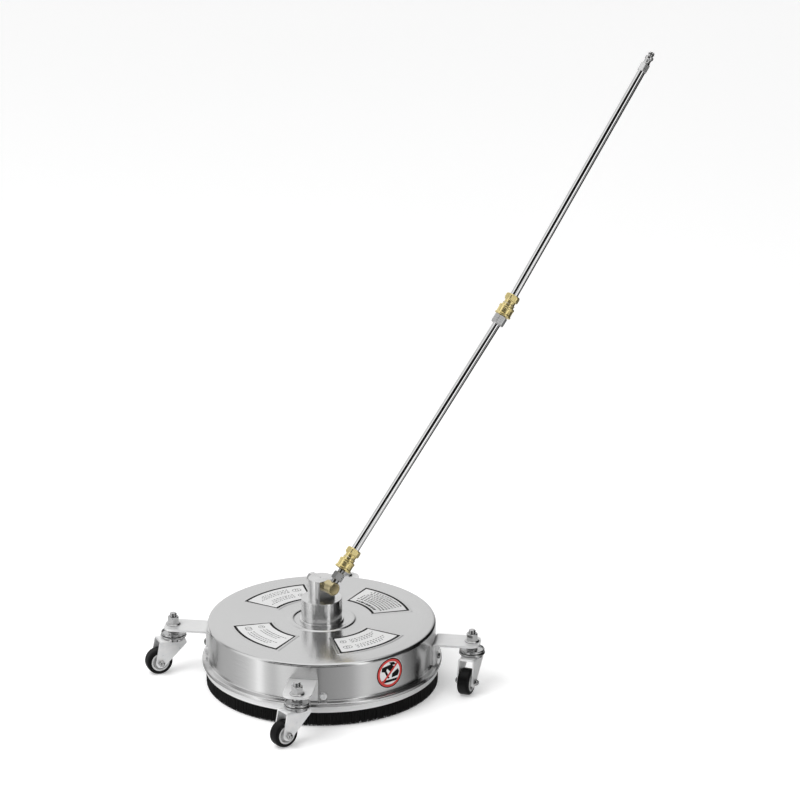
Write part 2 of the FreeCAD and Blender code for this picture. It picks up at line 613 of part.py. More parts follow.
def flange_nut(side, place):
    """Flange nut that holds the caster stem down on its arm."""
    collar = turned(f"nut_collar_{side}", [
        ("stem_r + thread_fit", "0"), ("nut_flange_r", "0"), ("nut_flange_r", "nut_flange_edge"),
        ("nut_flats / 2", "nut_flange_high"), ("stem_r + thread_fit", "nut_flange_high")], place)
    crown = common(f"nut_crown_{side}",
                   hexagon(f"nut_hex_{side}", "nut_flats", "nut_high", place),
                   turned(f"nut_cone_{side}", [
                       ("stem_r + thread_fit", "nut_flange_edge"),
                       ("nut_flats / past_corners", "nut_flange_edge"),
                       ("nut_flats / past_corners", "nut_high - nut_ease"),
                       ("nut_flats / nut_circle", "nut_high"), ("stem_r + thread_fit", "nut_high")], place))
    return fused(f"flange_nut_{side}", collar, crown)


def casters():
    nuts = []
    for side, (turn, trail_turn) in CASTERS.items():
        stem = deck_place(turn, size("stem_radius"), 0)
        swivel = Placement(stem.Base, Rotation(Vector(0, 0, 1), trail_turn))
        caster_stem(side, stem)
        caster_fork(side, swivel)
        caster_axle(side, swivel)
        caster_wheel(side, swivel)
        nuts.append(flange_nut(side, up(size("arm_top") + size("thread_fit"), stem)))
    node("stem_nuts", grouped("stem_nut_set", nuts))


# ---------------------------------------------------------------- hub

def hub():
    node("hub_base_ring", turned("base_ring", [
        ("neck_radius + running_gap", "deck_top"), ("ring_radius", "deck_top"),
        ("ring_radius", "ring_high - hub_chamfer"), ("ring_radius - hub_chamfer", "ring_high"),
        ("neck_radius + running_gap", "ring_high")], deck_place()))
    node("hub_clamp_nut", cut("clamp_nut",
                              hexagon("clamp_hex", "2 * clamp_radius", "deck_top - steel - clamp_low",
                                      deck_place(0, 0, size("clamp_low"))),
                              cylinder("clamp_hole", "neck_radius + running_gap", "cut_long",
                                       deck_place(0, 0, size("clamp_low") - size("cut_back")))))
    casting = turned("hub_casting", [
        ("bearing_r", "neck_low"), ("neck_radius", "neck_low"), ("neck_radius", "ring_high"),
        ("hub_radius", "ring_high"), ("hub_radius", "hub_step - hub_chamfer"),
        ("hub_radius - hub_chamfer", "hub_step"), ("head_radius", "hub_step"),
        ("head_radius", "head_top - hub_chamfer"), ("head_radius - hub_chamfer", "head_top"),
        ("0", "head_top"), ("0", "cross_z"), ("duct_r", "cross_z"),
        ("duct_r", "seat_top + seal_high"), ("seal_r", "seat_top + seal_high"),
        ("seal_r", "seat_top"), ("bearing_r", "seat_top")], deck_place())
    flat = box("hub_flat", "flat_deep", "flat_wide", "head_top - hub_step + cut_back",
               deck_place(size("cross_turn"), size("flat_at"), size("hub_step")))
    bore = cylinder("hub_cross_bore", "cross_r", "2 * cross_half", up(-size("cross_half"), CROSS))
    node("hub_body", cut("hub_machined", casting, flat, bore))
    for name, low in (("lower_bearing", "lower_bearing_z"), ("upper_bearing", "upper_bearing_z")):
        node(name, turned(name + "_rings", [
            ("bearing_bore_r + running_gap", low), ("bearing_r - running_gap", low),
            ("bearing_r - running_gap", f"{low} + bearing_high"),
            ("bearing_bore_r + running_gap", f"{low} + bearing_high")], deck_place()))
    node("bearing_spacer", turned("spacer_tube", [
        ("bearing_r - spacer_wall", "lower_bearing_z + bearing_high"),
        ("bearing_r - running_gap", "lower_bearing_z + bearing_high"),
        ("bearing_r - running_gap", "upper_bearing_z"), ("bearing_r - spacer_wall", "upper_bearing_z")],
        deck_place()))
    node("bearing_circlip", turned("circlip_ring", [
        ("bearing_r - circlip_wide", "lower_bearing_z - circlip_thick"),
        ("bearing_r - running_gap", "lower_bearing_z - circlip_thick"),
        ("bearing_r - running_gap", "lower_bearing_z"), ("bearing_r - circlip_wide", "lower_bearing_z")],
        deck_place()))
    node("shaft_seal", turned("seal_ring", [
        ("bearing_bore_r + seal_fit", "seat_top + seal_set"),
        ("seal_r - running_gap", "seat_top + seal_set"),
        ("seal_r - running_gap", "seat_top + seal_high - seal_fit"),
        ("bearing_bore_r + seal_fit", "seat_top + seal_high - seal_fit")], deck_place()))


# ---------------------------------------------------------------- rotor under the deck

def rotor():
    node("rotor_shaft", turned("spindle", [
        ("shaft_bore", "rotor_z"), ("bearing_bore_r - shaft_end", "rotor_z"),
        ("bearing_bore_r - shaft_end", "rotor_z + rotor_half"), ("shaft_collar", "rotor_z + rotor_half"),
        ("shaft_collar", "neck_low - collar_gap"), ("bearing_bore_r + shaft_land", "neck_low - collar_gap"),
        ("bearing_bore_r + shaft_land", "lower_bearing_z"), ("bearing_bore_r", "lower_bearing_z"),
        ("bearing_bore_r", "seat_top + seal_high - 2 * seal_set"),
        ("shaft_bore", "seat_top + seal_high - 2 * seal_set")], deck_place()))
    frame = deck_place(size("rotor_turn"), 0, 0)
    block = cut("rotor_block",
                turned("rotor_drum", [
                    ("bearing_bore_r - shaft_end + running_gap", "rotor_z - rotor_half"),
                    ("rotor_r - rotor_ease", "rotor_z - rotor_half"),
                    ("rotor_r", "rotor_z - rotor_half + rotor_ease"),
                    ("rotor_r", "rotor_z + rotor_half - rotor_ease"),
                    ("rotor_r - rotor_ease", "rotor_z + rotor_half"),
                    ("bearing_bore_r - shaft_end + running_gap", "rotor_z + rotor_half")], frame),
                cylinder("rotor_cross_hole", "spray_r", "2 * cross_half",
                         frame * Placement(Vector(-size("cross_half"), 0, size("rotor_z")),
                                           Rotation(Vector(0, 1, 0), 90))))
    node("rotor_head", block)
    node("rotor_nut", fused("rotor_acorn",
                            hexagon("acorn_nut_hex", "acorn_flats", "acorn_hex",
                                    up(size("rotor_z") - size("acorn_at"), frame)),
                            turned("acorn_pin", [
                                ("0", "rotor_z - acorn_tip"), ("spray_r", "rotor_z - acorn_tip + 0.6"),
                                ("acorn_r", "rotor_z - acorn_at"),
                                ("acorn_r", "rotor_z - acorn_at + acorn_hex / 2"),
                                ("bearing_bore_r - shaft_end", "rotor_z - acorn_at + acorn_hex / 2"),
                                ("bearing_bore_r - shaft_end", "rotor_z - spray_r"),
                                ("0", "rotor_z - spray_r")], frame)))
    for name, side in (("a", 0.0), ("b", 180.0)):
        arm = deck_place(size("rotor_turn") + side, 0, 0)
        lying = arm * Placement(Vector(size("spray_root"), 0, size("rotor_z")),
                                Rotation(Vector(0, 1, 0), 90))
        tube = cut(f"spray_pipe_{name}",
                   cylinder(f"spray_outer_{name}", "spray_r", "spray_reach - spray_root", lying),
                   cylinder(f"spray_inner_{name}", "spray_bore", "spray_reach - 1.5 * spray_root", lying))
        node(f"spray_arm_{name}", tube)
        holder_place = arm * Placement(Vector(size("spray_reach"), 0, 0), Rotation())
        elbow = cut(f"holder_{name}_body",
                    turned(f"holder_{name}_turn", [
                        ("0", "rotor_z - holder_low"), ("holder_r - cup_flare", "rotor_z - holder_low"),
                        ("holder_r", "rotor_z - holder_low + 2"),
                        ("holder_r", "rotor_z + holder_high - 2"),
                        ("holder_r - cup_flare", "rotor_z + holder_high"), ("0", "rotor_z + holder_high")],
                        holder_place),
                    cylinder(f"holder_{name}_socket", "spray_r", "spray_root",
                             arm * Placement(Vector(size("spray_reach") - size("spray_root"), 0,
                                                    size("rotor_z")),
                                             Rotation(Vector(0, 1, 0), 90))),
                    cylinder(f"holder_{name}_thread", "nozzle_r", "nozzle_long + 4 * cut_over",
                             up(size("rotor_z") - size("holder_low") - size("cut_over"), holder_place)))
        node(f"nozzle_holder_{name}", elbow)
        node(f"nozzle_{name}", turned(f"jet_{name}", [
            ("jet_r", "nozzle_low"), ("nozzle_r - 1.5 * jet_r", "nozzle_low"),
            ("nozzle_r - 0.5 * jet_r", "nozzle_low + 2 * jet_r"),
            ("nozzle_r + 2 * jet_r", "nozzle_low + 3 * jet_r"),
            ("nozzle_r + 2 * jet_r", "rotor_z - holder_low - seal_fit"),
            ("nozzle_r - running_gap", "rotor_z - holder_low - seal_fit"),
            ("nozzle_r - running_gap", "rotor_z - nozzle_long"), ("jet_r", "rotor_z - nozzle_long")],
            holder_place))


# ---------------------------------------------------------------- swivel barrel

def swivel():
    barrel = turned("barrel_turn", [
        ("cross_r", "barrel_from"), ("barrel_r - barrel_ease", "barrel_from"),
        ("barrel_r", "barrel_from + barrel_ease"), ("barrel_r", "barrel_to - barrel_round"),
        ("barrel_r - barrel_round", "barrel_to"), ("0", "barrel_to"),
        ("0", "barrel_from + barrel_bore + blind_fit"),
        ("cross_r", "barrel_from + barrel_bore + blind_fit")], CROSS)
    port = cylinder("barrel_port", "port_r", "cut_back",
                    up(size("inlet_from") - size("running_gap"), LOWER_LANCE))
    way = cylinder("barrel_way", "plug_bore", "cut_back", LOWER_LANCE)
    node("swivel_barrel", cut("barrel_bored", barrel, port, way))
    pin = turned("pin_turn", [
        ("pin_bore", "shaft_bore"), ("cross_r - pin_wall", "shaft_bore"),
        ("cross_r - pin_wall", "cross_half - cap_to"), ("cross_r - running_gap", "cross_half - cap_to"),
        ("cross_r - running_gap", "cross_half + barrel_from + barrel_bore"),
        ("pin_bore", "cross_half + barrel_from + barrel_bore")], up(-size("cross_half"), CROSS))
    groove = cut("pin_groove",
                 cylinder("pin_groove_outer", "cross_r + cut_over", "groove_wide",
                          up(-size("groove_wide") / 2, CROSS)),
                 cylinder("pin_groove_core", "cross_r - groove_deep", "groove_wide + 2 * cut_over",
                          up(-size("groove_wide") / 2 - size("cut_over"), CROSS)))
    trimmed = cylinder("pin_reach", "cross_r + cut_over", "cap_to - cap_skin + barrel_from + barrel_bore",
                       up(size("cap_skin") - size("cap_to"), CROSS))
    inlet = cylinder("pin_inlet", "pin_inlet_r", "cut_back",
                     deck_place(0, 0, size("cross_z") - size("cut_back") / 2))
    node("cross_pin", cut("pin_done", common("pin_trimmed", pin, trimmed), groove, inlet))
    cap_frame = CROSS * Placement(Vector(), Rotation(Vector(1, 0, 0), 180))
    cap = common("cap_shape",
                 hexagon("cap_hex", "cap_flats", "cap_to - cap_from", up(size("cap_from"), cap_frame)),
                 turned("cap_dome", [
                     ("0", "cap_from"), ("cap_flats / past_corners", "cap_from"),
                     ("cap_flats / past_corners", "cap_to - cap_ease"),
                     ("cap_flats / crown_circle", "cap_to"), ("0", "cap_to")], cap_frame))
    thread = cylinder("cap_thread", "cross_r - running_gap", "cap_to - cap_skin - cap_from + cut_over",
                      up(size("cap_from") - size("cut_over"), cap_frame))
    node("cross_pin_cap", cut("cap_done", cap, thread))


# ---------------------------------------------------------------- lance

def plug_nose(start, tip):
    """Corners of a coupler plug's nose, from its hexagon to its tip, with the groove for the balls."""
    return [
        ("plug_r", f"{start} + 0.8"), ("plug_r", f"{tip} - 9"),
        ("plug_r - plug_groove", f"{tip} - 8"), ("plug_r - plug_groove", f"{tip} - 6"),
        ("plug_r", f"{tip} - 5"), ("plug_r", f"{tip} - 1.5"), ("plug_r - 1", tip), ("plug_bore", tip)]


def tube_plug(name, flats, hex_from, hex_to, tube_end, corners):
    """A bored plug whose hexagon has a socket for the end of a tube."""
    frame = UPPER_LANCE if name == "tool" else LOWER_LANCE
    body_hex = cut(f"{name}_hex_bored",
                   hexagon(f"{name}_hex", flats, f"{hex_to} - {hex_from}", up(value_of(hex_from), frame)),
                   cylinder(f"{name}_socket", "tube_r", "cut_long",
                            up(value_of(hex_to) - size("socket_back"), frame)))
    core = turned(f"{name}_core", [
        ("plug_bore", f"{tube_end} + blind_fit"), ("tube_r + pipe_wall", f"{tube_end} + blind_fit"),
        ("tube_r + pipe_wall", hex_to)] + corners, frame)
    return fused(f"{name}_done", body_hex, core)


def coupler(name, start, place):
    """Brass quick coupler: ball body, sprung sleeve and the hexagon that holds the tube."""
    sleeve_end = f"{start} + sleeve_long"
    hex_from, hex_to = f"{start} + coupler_hex_at", f"{start} + coupler_long"
    core = turned(f"{name}_core", [
        ("coupler_bore", f"{start} + body_set"), ("body_r", f"{start} + body_set"),
        ("body_r", f"{sleeve_end} + sleeve_travel + seal_set"),
        ("coupler_neck_r", f"{sleeve_end} + sleeve_travel + seal_set"), ("coupler_neck_r", hex_from),
        ("tube_r", hex_from), ("tube_r", f"{hex_from} - socket_step"),
        ("coupler_bore", f"{hex_from} - socket_step")], place)
    grip_hex = hexagon(f"{name}_hex", "coupler_flats", "coupler_long - coupler_hex_at",
                       up(value_of(hex_from), place))
    grip_cone = turned(f"{name}_cone", [
        ("tube_r", hex_from), ("coupler_flats / 2", hex_from),
        ("coupler_flats / cone_circle", f"{hex_from} + hex_cone"),
        ("coupler_flats / cone_circle", f"{hex_to} - hex_cone"),
        ("coupler_flats / 2", hex_to), ("tube_r", hex_to)], place)
    grip = common(f"{name}_grip", grip_hex, grip_cone)
    node(f"{name}_body", fused(f"{name}_done", core, grip))
    node(f"{name}_sleeve", turned(f"{name}_collar", [
        ("sleeve_bore", start), ("sleeve_rim_r - sleeve_ease", start),
        ("sleeve_rim_r", f"{start} + sleeve_ease"), ("sleeve_rim_r", f"{start} + sleeve_rim_long"),
        ("sleeve_r", f"{start} + sleeve_rim_long + 1"), ("sleeve_r", f"{sleeve_end} - sleeve_grip"),
        ("sleeve_rim_r - sleeve_ease", f"{sleeve_end} - sleeve_grip + 0.8"),
        ("sleeve_rim_r - sleeve_ease", f"{sleeve_end} - 0.9"),
        ("sleeve_r", sleeve_end), ("sleeve_bore", sleeve_end)], place))


def tube(name, start, end, place):
    node(name, turned(name + "_pipe", [
        ("tube_bore", start), ("tube_r - thread_fit", start), ("tube_r - thread_fit", end),
        ("tube_bore", end)], place))


def lance():
    inlet_core = turned("inlet_core", [
        ("plug_bore", "inlet_from"), ("port_r - thread_fit", "inlet_from"),
        ("port_r - thread_fit", "inlet_hex_from"), ("port_r + pipe_wall", "inlet_hex_from"),
        ("port_r + pipe_wall", "inlet_hex_to")]
        + plug_nose("inlet_hex_to", "inlet_tip"), LOWER_LANCE)
    inlet_hex = cut("inlet_hex_bored",
                    hexagon("inlet_hex", "inlet_flats", "inlet_hex_to - inlet_hex_from",
                            up(size("inlet_hex_from"), LOWER_LANCE)),
                    cylinder("inlet_hex_bore", "port_r", "cut_long", LOWER_LANCE))
    node("inlet_plug", fused("inlet_done", inlet_core, inlet_hex))
    coupler("lower_coupler", "lower_coupler_at", LOWER_LANCE)
    tube("lower_tube", "lower_coupler_at + coupler_hex_at - pipe_set", "lower_tube_end", LOWER_LANCE)
    node("joint_plug", tube_plug("joint", "joint_flats", "joint_hex_from", "joint_hex_to",
                                 "lower_tube_end", plug_nose("joint_hex_to", "joint_tip")))
    coupler("upper_coupler", "upper_coupler_at", UPPER_LANCE)
    tube("upper_tube", "upper_coupler_at + coupler_hex_at - pipe_set", "upper_tube_end", UPPER_LANCE)
    node("tool_plug", tube_plug("tool", "tool_flats", "tool_hex_from", "tool_hex_to", "upper_tube_end", [
        ("tool_neck_r", "tool_hex_to + 2"), ("plug_r", "tool_tip - 15"), ("tool_collar_r", "tool_tip - 13"),
        ("tool_collar_r", "tool_tip - 8.5"), ("nose_r", "tool_tip - 7"),
        ("nose_r", "tool_tip - sleeve_ease"), ("nose_r - sleeve_ease", "tool_tip"),
        ("plug_bore", "tool_tip")]))


# ---------------------------------------------------------------- make, check, write

deck_housing()
brush_skirt()
wall_bolts()
caster_arms()
casters()
hub()
rotor()
swivel()
lance()
doc.recompute()

faults = [thing.Name for thing in doc.Objects if {"Invalid", "Error"} & set(thing.State)]
faults += [thing.Label for thing in nodes if thing.Shape.isNull() or not thing.Shape.isValid()]
if faults:
    raise SystemExit("failed objects: " + ", ".join(faults))
if len(nodes) > MOST_NODES:
    raise SystemExit(f"{len(nodes)} nodes is over {MOST_NODES}")

os.makedirs("parts", exist_ok=True)
for old in os.listdir("parts"):
    os.remove(os.path.join("parts", old))
extent = FreeCAD.BoundBox()
for thing in nodes:
    thing.Shape.exportStep(f"parts/{thing.Label}.step")
    extent.add(thing.Shape.BoundBox)
    litres = thing.Shape.Volume / 1e6
    print(f"{thing.Label:22s} solids {len(thing.Shape.Solids):2d}  volume {litres:9.6f} l")
print(len(nodes), "nodes, box", extent)
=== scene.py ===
import bmesh
import bpy
import json
import random
from math import acos, atan2, ceil, cos, degrees, hypot, pi, radians, sin, sqrt, tau
from mathutils import Matrix, Vector


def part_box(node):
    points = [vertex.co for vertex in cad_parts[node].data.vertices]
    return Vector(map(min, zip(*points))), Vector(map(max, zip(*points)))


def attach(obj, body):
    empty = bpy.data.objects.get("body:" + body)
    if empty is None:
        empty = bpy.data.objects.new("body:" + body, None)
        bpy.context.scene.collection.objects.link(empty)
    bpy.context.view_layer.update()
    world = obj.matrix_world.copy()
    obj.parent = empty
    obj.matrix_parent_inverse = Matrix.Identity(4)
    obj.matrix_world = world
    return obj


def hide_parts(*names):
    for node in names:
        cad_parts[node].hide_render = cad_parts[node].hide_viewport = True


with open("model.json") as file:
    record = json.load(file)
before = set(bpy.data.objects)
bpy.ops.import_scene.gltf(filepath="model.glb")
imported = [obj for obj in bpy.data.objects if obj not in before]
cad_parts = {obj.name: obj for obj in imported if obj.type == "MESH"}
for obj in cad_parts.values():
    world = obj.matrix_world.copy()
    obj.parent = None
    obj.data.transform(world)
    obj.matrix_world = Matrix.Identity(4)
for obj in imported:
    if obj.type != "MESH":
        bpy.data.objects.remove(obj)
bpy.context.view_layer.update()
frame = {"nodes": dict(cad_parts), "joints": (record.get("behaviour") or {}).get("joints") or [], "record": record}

# ================ frames
# Sizes are in millimetres until a vertex is placed; MM turns them into the row frame's metres.
# Angles that a piece is placed at are azimuths in degrees about the deck's axis.

MM = 0.001
UP = (0, 0, 1)
random.seed(7)
JOINTS = {joint["name"]: joint for joint in frame["joints"]}
SIDES = {"right": 0, "front": -90, "left": 180, "rear": 90}


def place_of(joint):
    return Vector(JOINTS[joint]["pos_m"])


def axis_of(joint):
    return Vector(JOINTS[joint]["axis"])


def foot_of(joint):
    """The point of the floor straight below a joint."""
    return place_of(joint) * Vector((1, 1, 0))


def upright(origin):
    """A millimetre frame at a point, parallel to the row frame."""
    return Matrix.Translation(origin) @ Matrix.Scale(MM, 4)


def frame_at(origin, along, across=UP):
    """A millimetre frame whose Z runs along a direction; its X lies as near to `across` as it can."""
    z = Vector(along).normalized()
    x = Vector(across) - z * Vector(across).dot(z)
    x = x.normalized() if x.length > 1e-6 else z.orthogonal().normalized()
    y = z.cross(x)
    turn = Matrix((x, y, z)).transposed().to_4x4()
    return Matrix.Translation(origin) @ turn @ Matrix.Scale(MM, 4)


def polar(radius, angle, height=0.0):
    return Vector((radius * cos(angle), radius * sin(angle), height))


AXIS = foot_of("rotor_spin")
DECK = upright(AXIS)
PIVOT = place_of("lance_tilt")
OUTWARD = -axis_of("lance_tilt")
CROSS_AT = 26.3
CROSS = frame_at(PIVOT - OUTWARD * CROSS_AT * MM, OUTWARD)
LOWER_UP = axis_of("lower_sleeve_slide")
UPPER_UP = axis_of("upper_sleeve_slide")
LOWER = frame_at(PIVOT, LOWER_UP, OUTWARD)
UPPER_TUBE = (15.3, 470.0)
tube_low, tube_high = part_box("upper_tube")
UPPER = frame_at((tube_low + tube_high) / 2 - UPPER_UP * sum(UPPER_TUBE) / 2 * MM, UPPER_UP, OUTWARD)

# ================ looks


LOOKS = {}
NOISE_LOW, NOISE_HIGH = 0.3, 0.7


class Nodes:
    """A node tree being put together. An input is a plain value or the socket that feeds it."""

    def __init__(self, tree):
        self.tree = tree

    def join(self, source, target):
        self.tree.links.new(source, target)

    def add(self, kind, inputs=(), **settings):
        node = self.tree.nodes.new(kind)
        for name, value in settings.items():
            setattr(node, name, value)
        for key, value in dict(inputs).items():
            if isinstance(value, bpy.types.NodeSocket):
                self.join(value, node.inputs[key])
            else:
                node.inputs[key].default_value = value
        return node

    def math(self, operation, a, b=0.0):
        return self.add("ShaderNodeMath", {0: a, 1: b}, operation=operation).outputs[0]

    def vector(self, operation, a, b):
        return self.add("ShaderNodeVectorMath", {0: a, 1: b}, operation=operation).outputs[0]

    def dot(self, vector, direction):
        inputs = {0: vector, 1: tuple(direction)}
        return self.add("ShaderNodeVectorMath", inputs, operation="DOT_PRODUCT").outputs["Value"]

    def combined(self, x, y, z):
        return self.add("ShaderNodeCombineXYZ", {0: x, 1: y, 2: z}).outputs[0]

    def spread(self, value, low, high, to_low=0.0, to_high=1.0, **settings):
        inputs = {0: value, 1: low, 2: high, 3: to_low, 4: to_high}
        return self.add("ShaderNodeMapRange", inputs, **settings).outputs[0]

    def ramp(self, value, *stops):
        ramp = self.add("ShaderNodeValToRGB", {0: value})
        elements = ramp.color_ramp.elements
        while len(elements) < len(stops):
            elements.new(0.5)
        for element, (at, colour) in zip(elements, stops):
            element.position = at
            element.color = (*colour, 1)
        return ramp.outputs[0]

    def mix(self, share, first, second):
        return self.add("ShaderNodeMix", {0: share, 6: first, 7: second}, data_type="RGBA").outputs[2]

    def weighed(self, first, second, share):
        """Two values added up, the first by its share and the second by the rest."""
        return self.math("ADD", self.math("MULTIPLY", first, share), self.math("MULTIPLY", second, 1 - share))


class Look(Nodes):
    """A procedural material being put together, kept in LOOKS by its name."""

    def __init__(self, name, **constants):
        self.material = bpy.data.materials.new(name)
        self.material.use_nodes = True
        LOOKS[name] = self.material
        super().__init__(self.material.node_tree)
        self.shader = self.tree.nodes["Principled BSDF"]
        for socket, value in constants.items():
            self.shader.inputs[socket.replace("_", " ")].default_value = value

    def point(self, origin=(0, 0, 0)):
        """Where the shaded point is in the row frame at rest, measured from an origin."""
        return self.vector("SUBTRACT", self.add("ShaderNodeTexCoord").outputs["Object"], tuple(origin))

    def noise(self, vector, scale, detail=3.0, roughness=0.5):
        inputs = {"Vector": vector, "Scale": scale, "Detail": detail, "Roughness": roughness}
        return self.add("ShaderNodeTexNoise", inputs).outputs["Fac"]

    def tones(self, noise, dark, light):
        """A colour that follows a noise."""
        return self.ramp(noise, (NOISE_LOW, dark), (NOISE_HIGH, light))

    def swing(self, noise, low, high):
        """A number that follows a noise."""
        return self.spread(noise, NOISE_LOW, NOISE_HIGH, low, high)

    def around(self, origin, fine, wrap):
        """Coordinates that run fine across circles about the deck's axis and long along them."""
        x, y, z = self.add("ShaderNodeSeparateXYZ", {0: self.point(origin)}).outputs
        reach = self.math("SQRT", self.math("ADD", self.math("MULTIPLY", x, x), self.math("MULTIPLY", y, y)))
        across = self.math("MULTIPLY", self.math("ADD", reach, z), fine)
        east, north = [self.math("MULTIPLY", self.math("DIVIDE", part, reach), wrap) for part in (x, y)]
        return self.combined(across, east, north)

    def along(self, origin, direction, fine, slow):
        """Coordinates that run fine along a direction and slow across it."""
        place = self.point(origin)
        step = self.math("MULTIPLY", self.dot(place, direction), fine)
        lead = self.vector("MULTIPLY", self.combined(step, step, step), tuple(direction))
        return self.vector("ADD", lead, self.vector("MULTIPLY", place, (slow, slow, slow)))

    def paint(self, colour, roughness=None):
        self.join(colour, self.shader.inputs["Base Color"])
        if roughness is not None:
            self.join(roughness, self.shader.inputs["Roughness"])

    def relief(self, height, depth_mm, strength):
        bump = self.add("ShaderNodeBump", {"Height": height, "Distance": depth_mm * MM, "Strength": strength})
        self.join(bump.outputs[0], self.shader.inputs["Normal"])

    def tangent_round_z(self):
        tangent = self.add("ShaderNodeTangent", direction_type="RADIAL", axis="Z").outputs[0]
        self.join(tangent, self.shader.inputs["Tangent"])


def grey(value, warm=0.0):
    return (value * (1 + warm), value, value * (1 - warm))


def brushed_sheet():
    """Stainless sheet, brushed in circles about the deck's axis."""
    look = Look("stainless_sheet", Metallic=1.0, Anisotropic=0.65, Anisotropic_Rotation=0.25)
    streaks = look.noise(look.around(AXIS, 1900, 3.0), 1.0, 3, 0.6)
    fine = look.noise(look.around(AXIS, 5200, 6.0), 1.0, 2)
    cloud = look.noise(look.point(), 14, 3)
    both = look.weighed(streaks, fine, 0.5)
    tone = look.ramp(both, (0.3, grey(0.66)), (0.5, grey(0.70)), (0.7, grey(0.74)))
    rough = look.math("ADD", look.swing(both, 0.185, 0.225), look.swing(cloud, -0.02, 0.02))
    look.paint(tone, rough)
    look.relief(both, 0.0025, 0.3)
    look.tangent_round_z()


def rolled_band():
    look = Look("band_steel", Metallic=0.45)
    streaks = look.noise(look.around(AXIS, 700, 3.0), 1.0, 3)
    smears = look.noise(look.point(), 60, 4)
    look.paint(look.tones(streaks, grey(0.84), grey(0.93)), look.swing(smears, 0.36, 0.48))
    look.relief(streaks, 0.01, 0.4)


def turned_metal(name, origin, direction, dark, light, rough, fine=1400, depth=0.006, **constants):
    """Machined metal with rings round its own axis."""
    look = Look(name, **{"Metallic": 1.0, **constants})
    rings = look.noise(look.along(origin, direction, fine, 25), 1.0, 2, 0.6)
    wear = look.noise(look.point(), 50, 2)
    look.paint(look.tones(rings, dark, light),
               look.math("ADD", look.swing(rings, rough - 0.03, rough + 0.04),
                         look.spread(wear, 0.35, 0.7, 0.0, 0.04)))
    look.relief(rings, depth, 0.5)
    if "Anisotropic" in constants:
        look.tangent_round_z()


def zinc(name, metallic, tone, rough, relief):
    """Bright zinc plate: a little cloudy, with the fine cells that plating has."""
    look = Look(name, Metallic=metallic)
    blotch = look.noise(look.point(), 120, 4, 0.6)
    cells = look.add("ShaderNodeTexVoronoi", {"Vector": look.point(), "Scale": 900}).outputs["Distance"]
    stops = (0.3, grey(tone - 0.05, -0.01)), (0.55, grey(tone)), (0.75, grey(tone + 0.04, 0.01))
    look.paint(look.ramp(blotch, *stops), look.swing(blotch, rough - 0.03, rough + 0.04))
    look.relief(look.weighed(blotch, cells, 0.6), relief, 0.25)


def satin_strip():
    """Pale satin steel with faint lines drawn round the deck."""
    look = Look("arm_steel", Metallic=0.4)
    lines = look.noise(look.vector("MULTIPLY", look.point(), (60, 60, 900)), 1.0, 3)
    cloud = look.noise(look.point(), 45, 3)
    look.paint(look.tones(look.weighed(lines, cloud, 0.5), grey(0.80), grey(0.88)),
               look.swing(cloud, 0.34, 0.42))
    look.relief(lines, 0.006, 0.3)


def chrome():
    look = Look("chrome_tube", Metallic=1.0)
    haze = look.noise(look.point(), 40, 4)
    draw = look.noise(look.along(PIVOT, LOWER_UP, 12, 900), 1.0, 2)
    look.paint(look.tones(haze, grey(0.8), grey(0.88)), look.swing(haze, 0.045, 0.085))
    look.relief(draw, 0.002, 0.25)


def nylon():
    look = Look("bristles", Roughness=0.45, Specular_IOR_Level=0.22)
    strand = look.noise(look.around(AXIS, 20, 900), 1.0, 2)
    length = look.noise(look.point(), 70, 3)
    stops = (0.35, grey(0.004)), (0.6, grey(0.010)), (0.8, grey(0.028))
    look.paint(look.ramp(look.weighed(strand, length, 0.75), *stops), look.swing(length, 0.36, 0.55))


def rubber(name, tone, rough):
    look = Look(name, Roughness=rough, Specular_IOR_Level=0.16)
    grain = look.noise(look.point(), 1500, 3)
    bloom = look.noise(look.point(), 60, 4)
    look.paint(look.tones(bloom, grey(tone), grey(tone * 2.2)), look.swing(bloom, rough - 0.06, rough + 0.08))
    look.relief(grain, 0.02, 0.25)


def moulded_plastic():
    look = Look("hub_plastic", Roughness=0.35)
    flow = look.noise(look.point(), 45, 4)
    grain = look.noise(look.point(), 1800, 2)
    look.paint(look.tones(flow, grey(0.56), grey(0.68)), look.swing(flow, 0.28, 0.4))
    look.relief(grain, 0.01, 0.2)


def ink(name, dark, light, gloss=0.5, rough=0.4):
    """Printed film: a shade that mottles a little, with the film's soft orange peel."""
    look = Look(name, Roughness=rough, Specular_IOR_Level=gloss)
    mottle = look.noise(look.point(), 700, 3)
    look.paint(look.tones(mottle, dark, light), look.swing(mottle, rough - 0.05, rough + 0.05))
    look.relief(look.noise(look.point(), 260, 2), 0.01, 0.15)


BRASS_DARK, BRASS_LIGHT = (0.80, 0.64, 0.24), (0.98, 0.84, 0.44)
OLIVE_DARK, OLIVE_LIGHT = (0.56, 0.47, 0.26), (0.74, 0.65, 0.40)
brushed_sheet()
rolled_band()
turned_metal("machined_steel", AXIS, UP, grey(0.74), grey(0.82), 0.20, 2600, 0.0004,
             Anisotropic=0.9, Anisotropic_Rotation=0.25)
turned_metal("lance_steel", PIVOT, LOWER_UP, grey(0.62), grey(0.78), 0.20)
turned_metal("inlet_steel", PIVOT, LOWER_UP, grey(0.30), grey(0.42), 0.14)
satin_strip()
# This zinc is held dark, at 0.58: partly the plating's own grey, partly painted shade that makes the bolts and
# other hardware read dark.
zinc("zinc", 1.0, 0.58, 0.12, 0.006)
zinc("fork_zinc", 0.45, 0.92, 0.30, 0.002)
chrome()
nylon()
turned_metal("coupler_brass", PIVOT, LOWER_UP, BRASS_DARK, BRASS_LIGHT, 0.20, Metallic=0.85)
turned_metal("barrel_brass", PIVOT, OUTWARD, OLIVE_DARK, OLIVE_LIGHT, 0.13, Metallic=0.92)
rubber("tyre_rubber", 0.003, 0.34)
moulded_plastic()
rubber("seal_rubber", 0.006, 0.5)
ink("label_white", grey(0.80), grey(0.86))
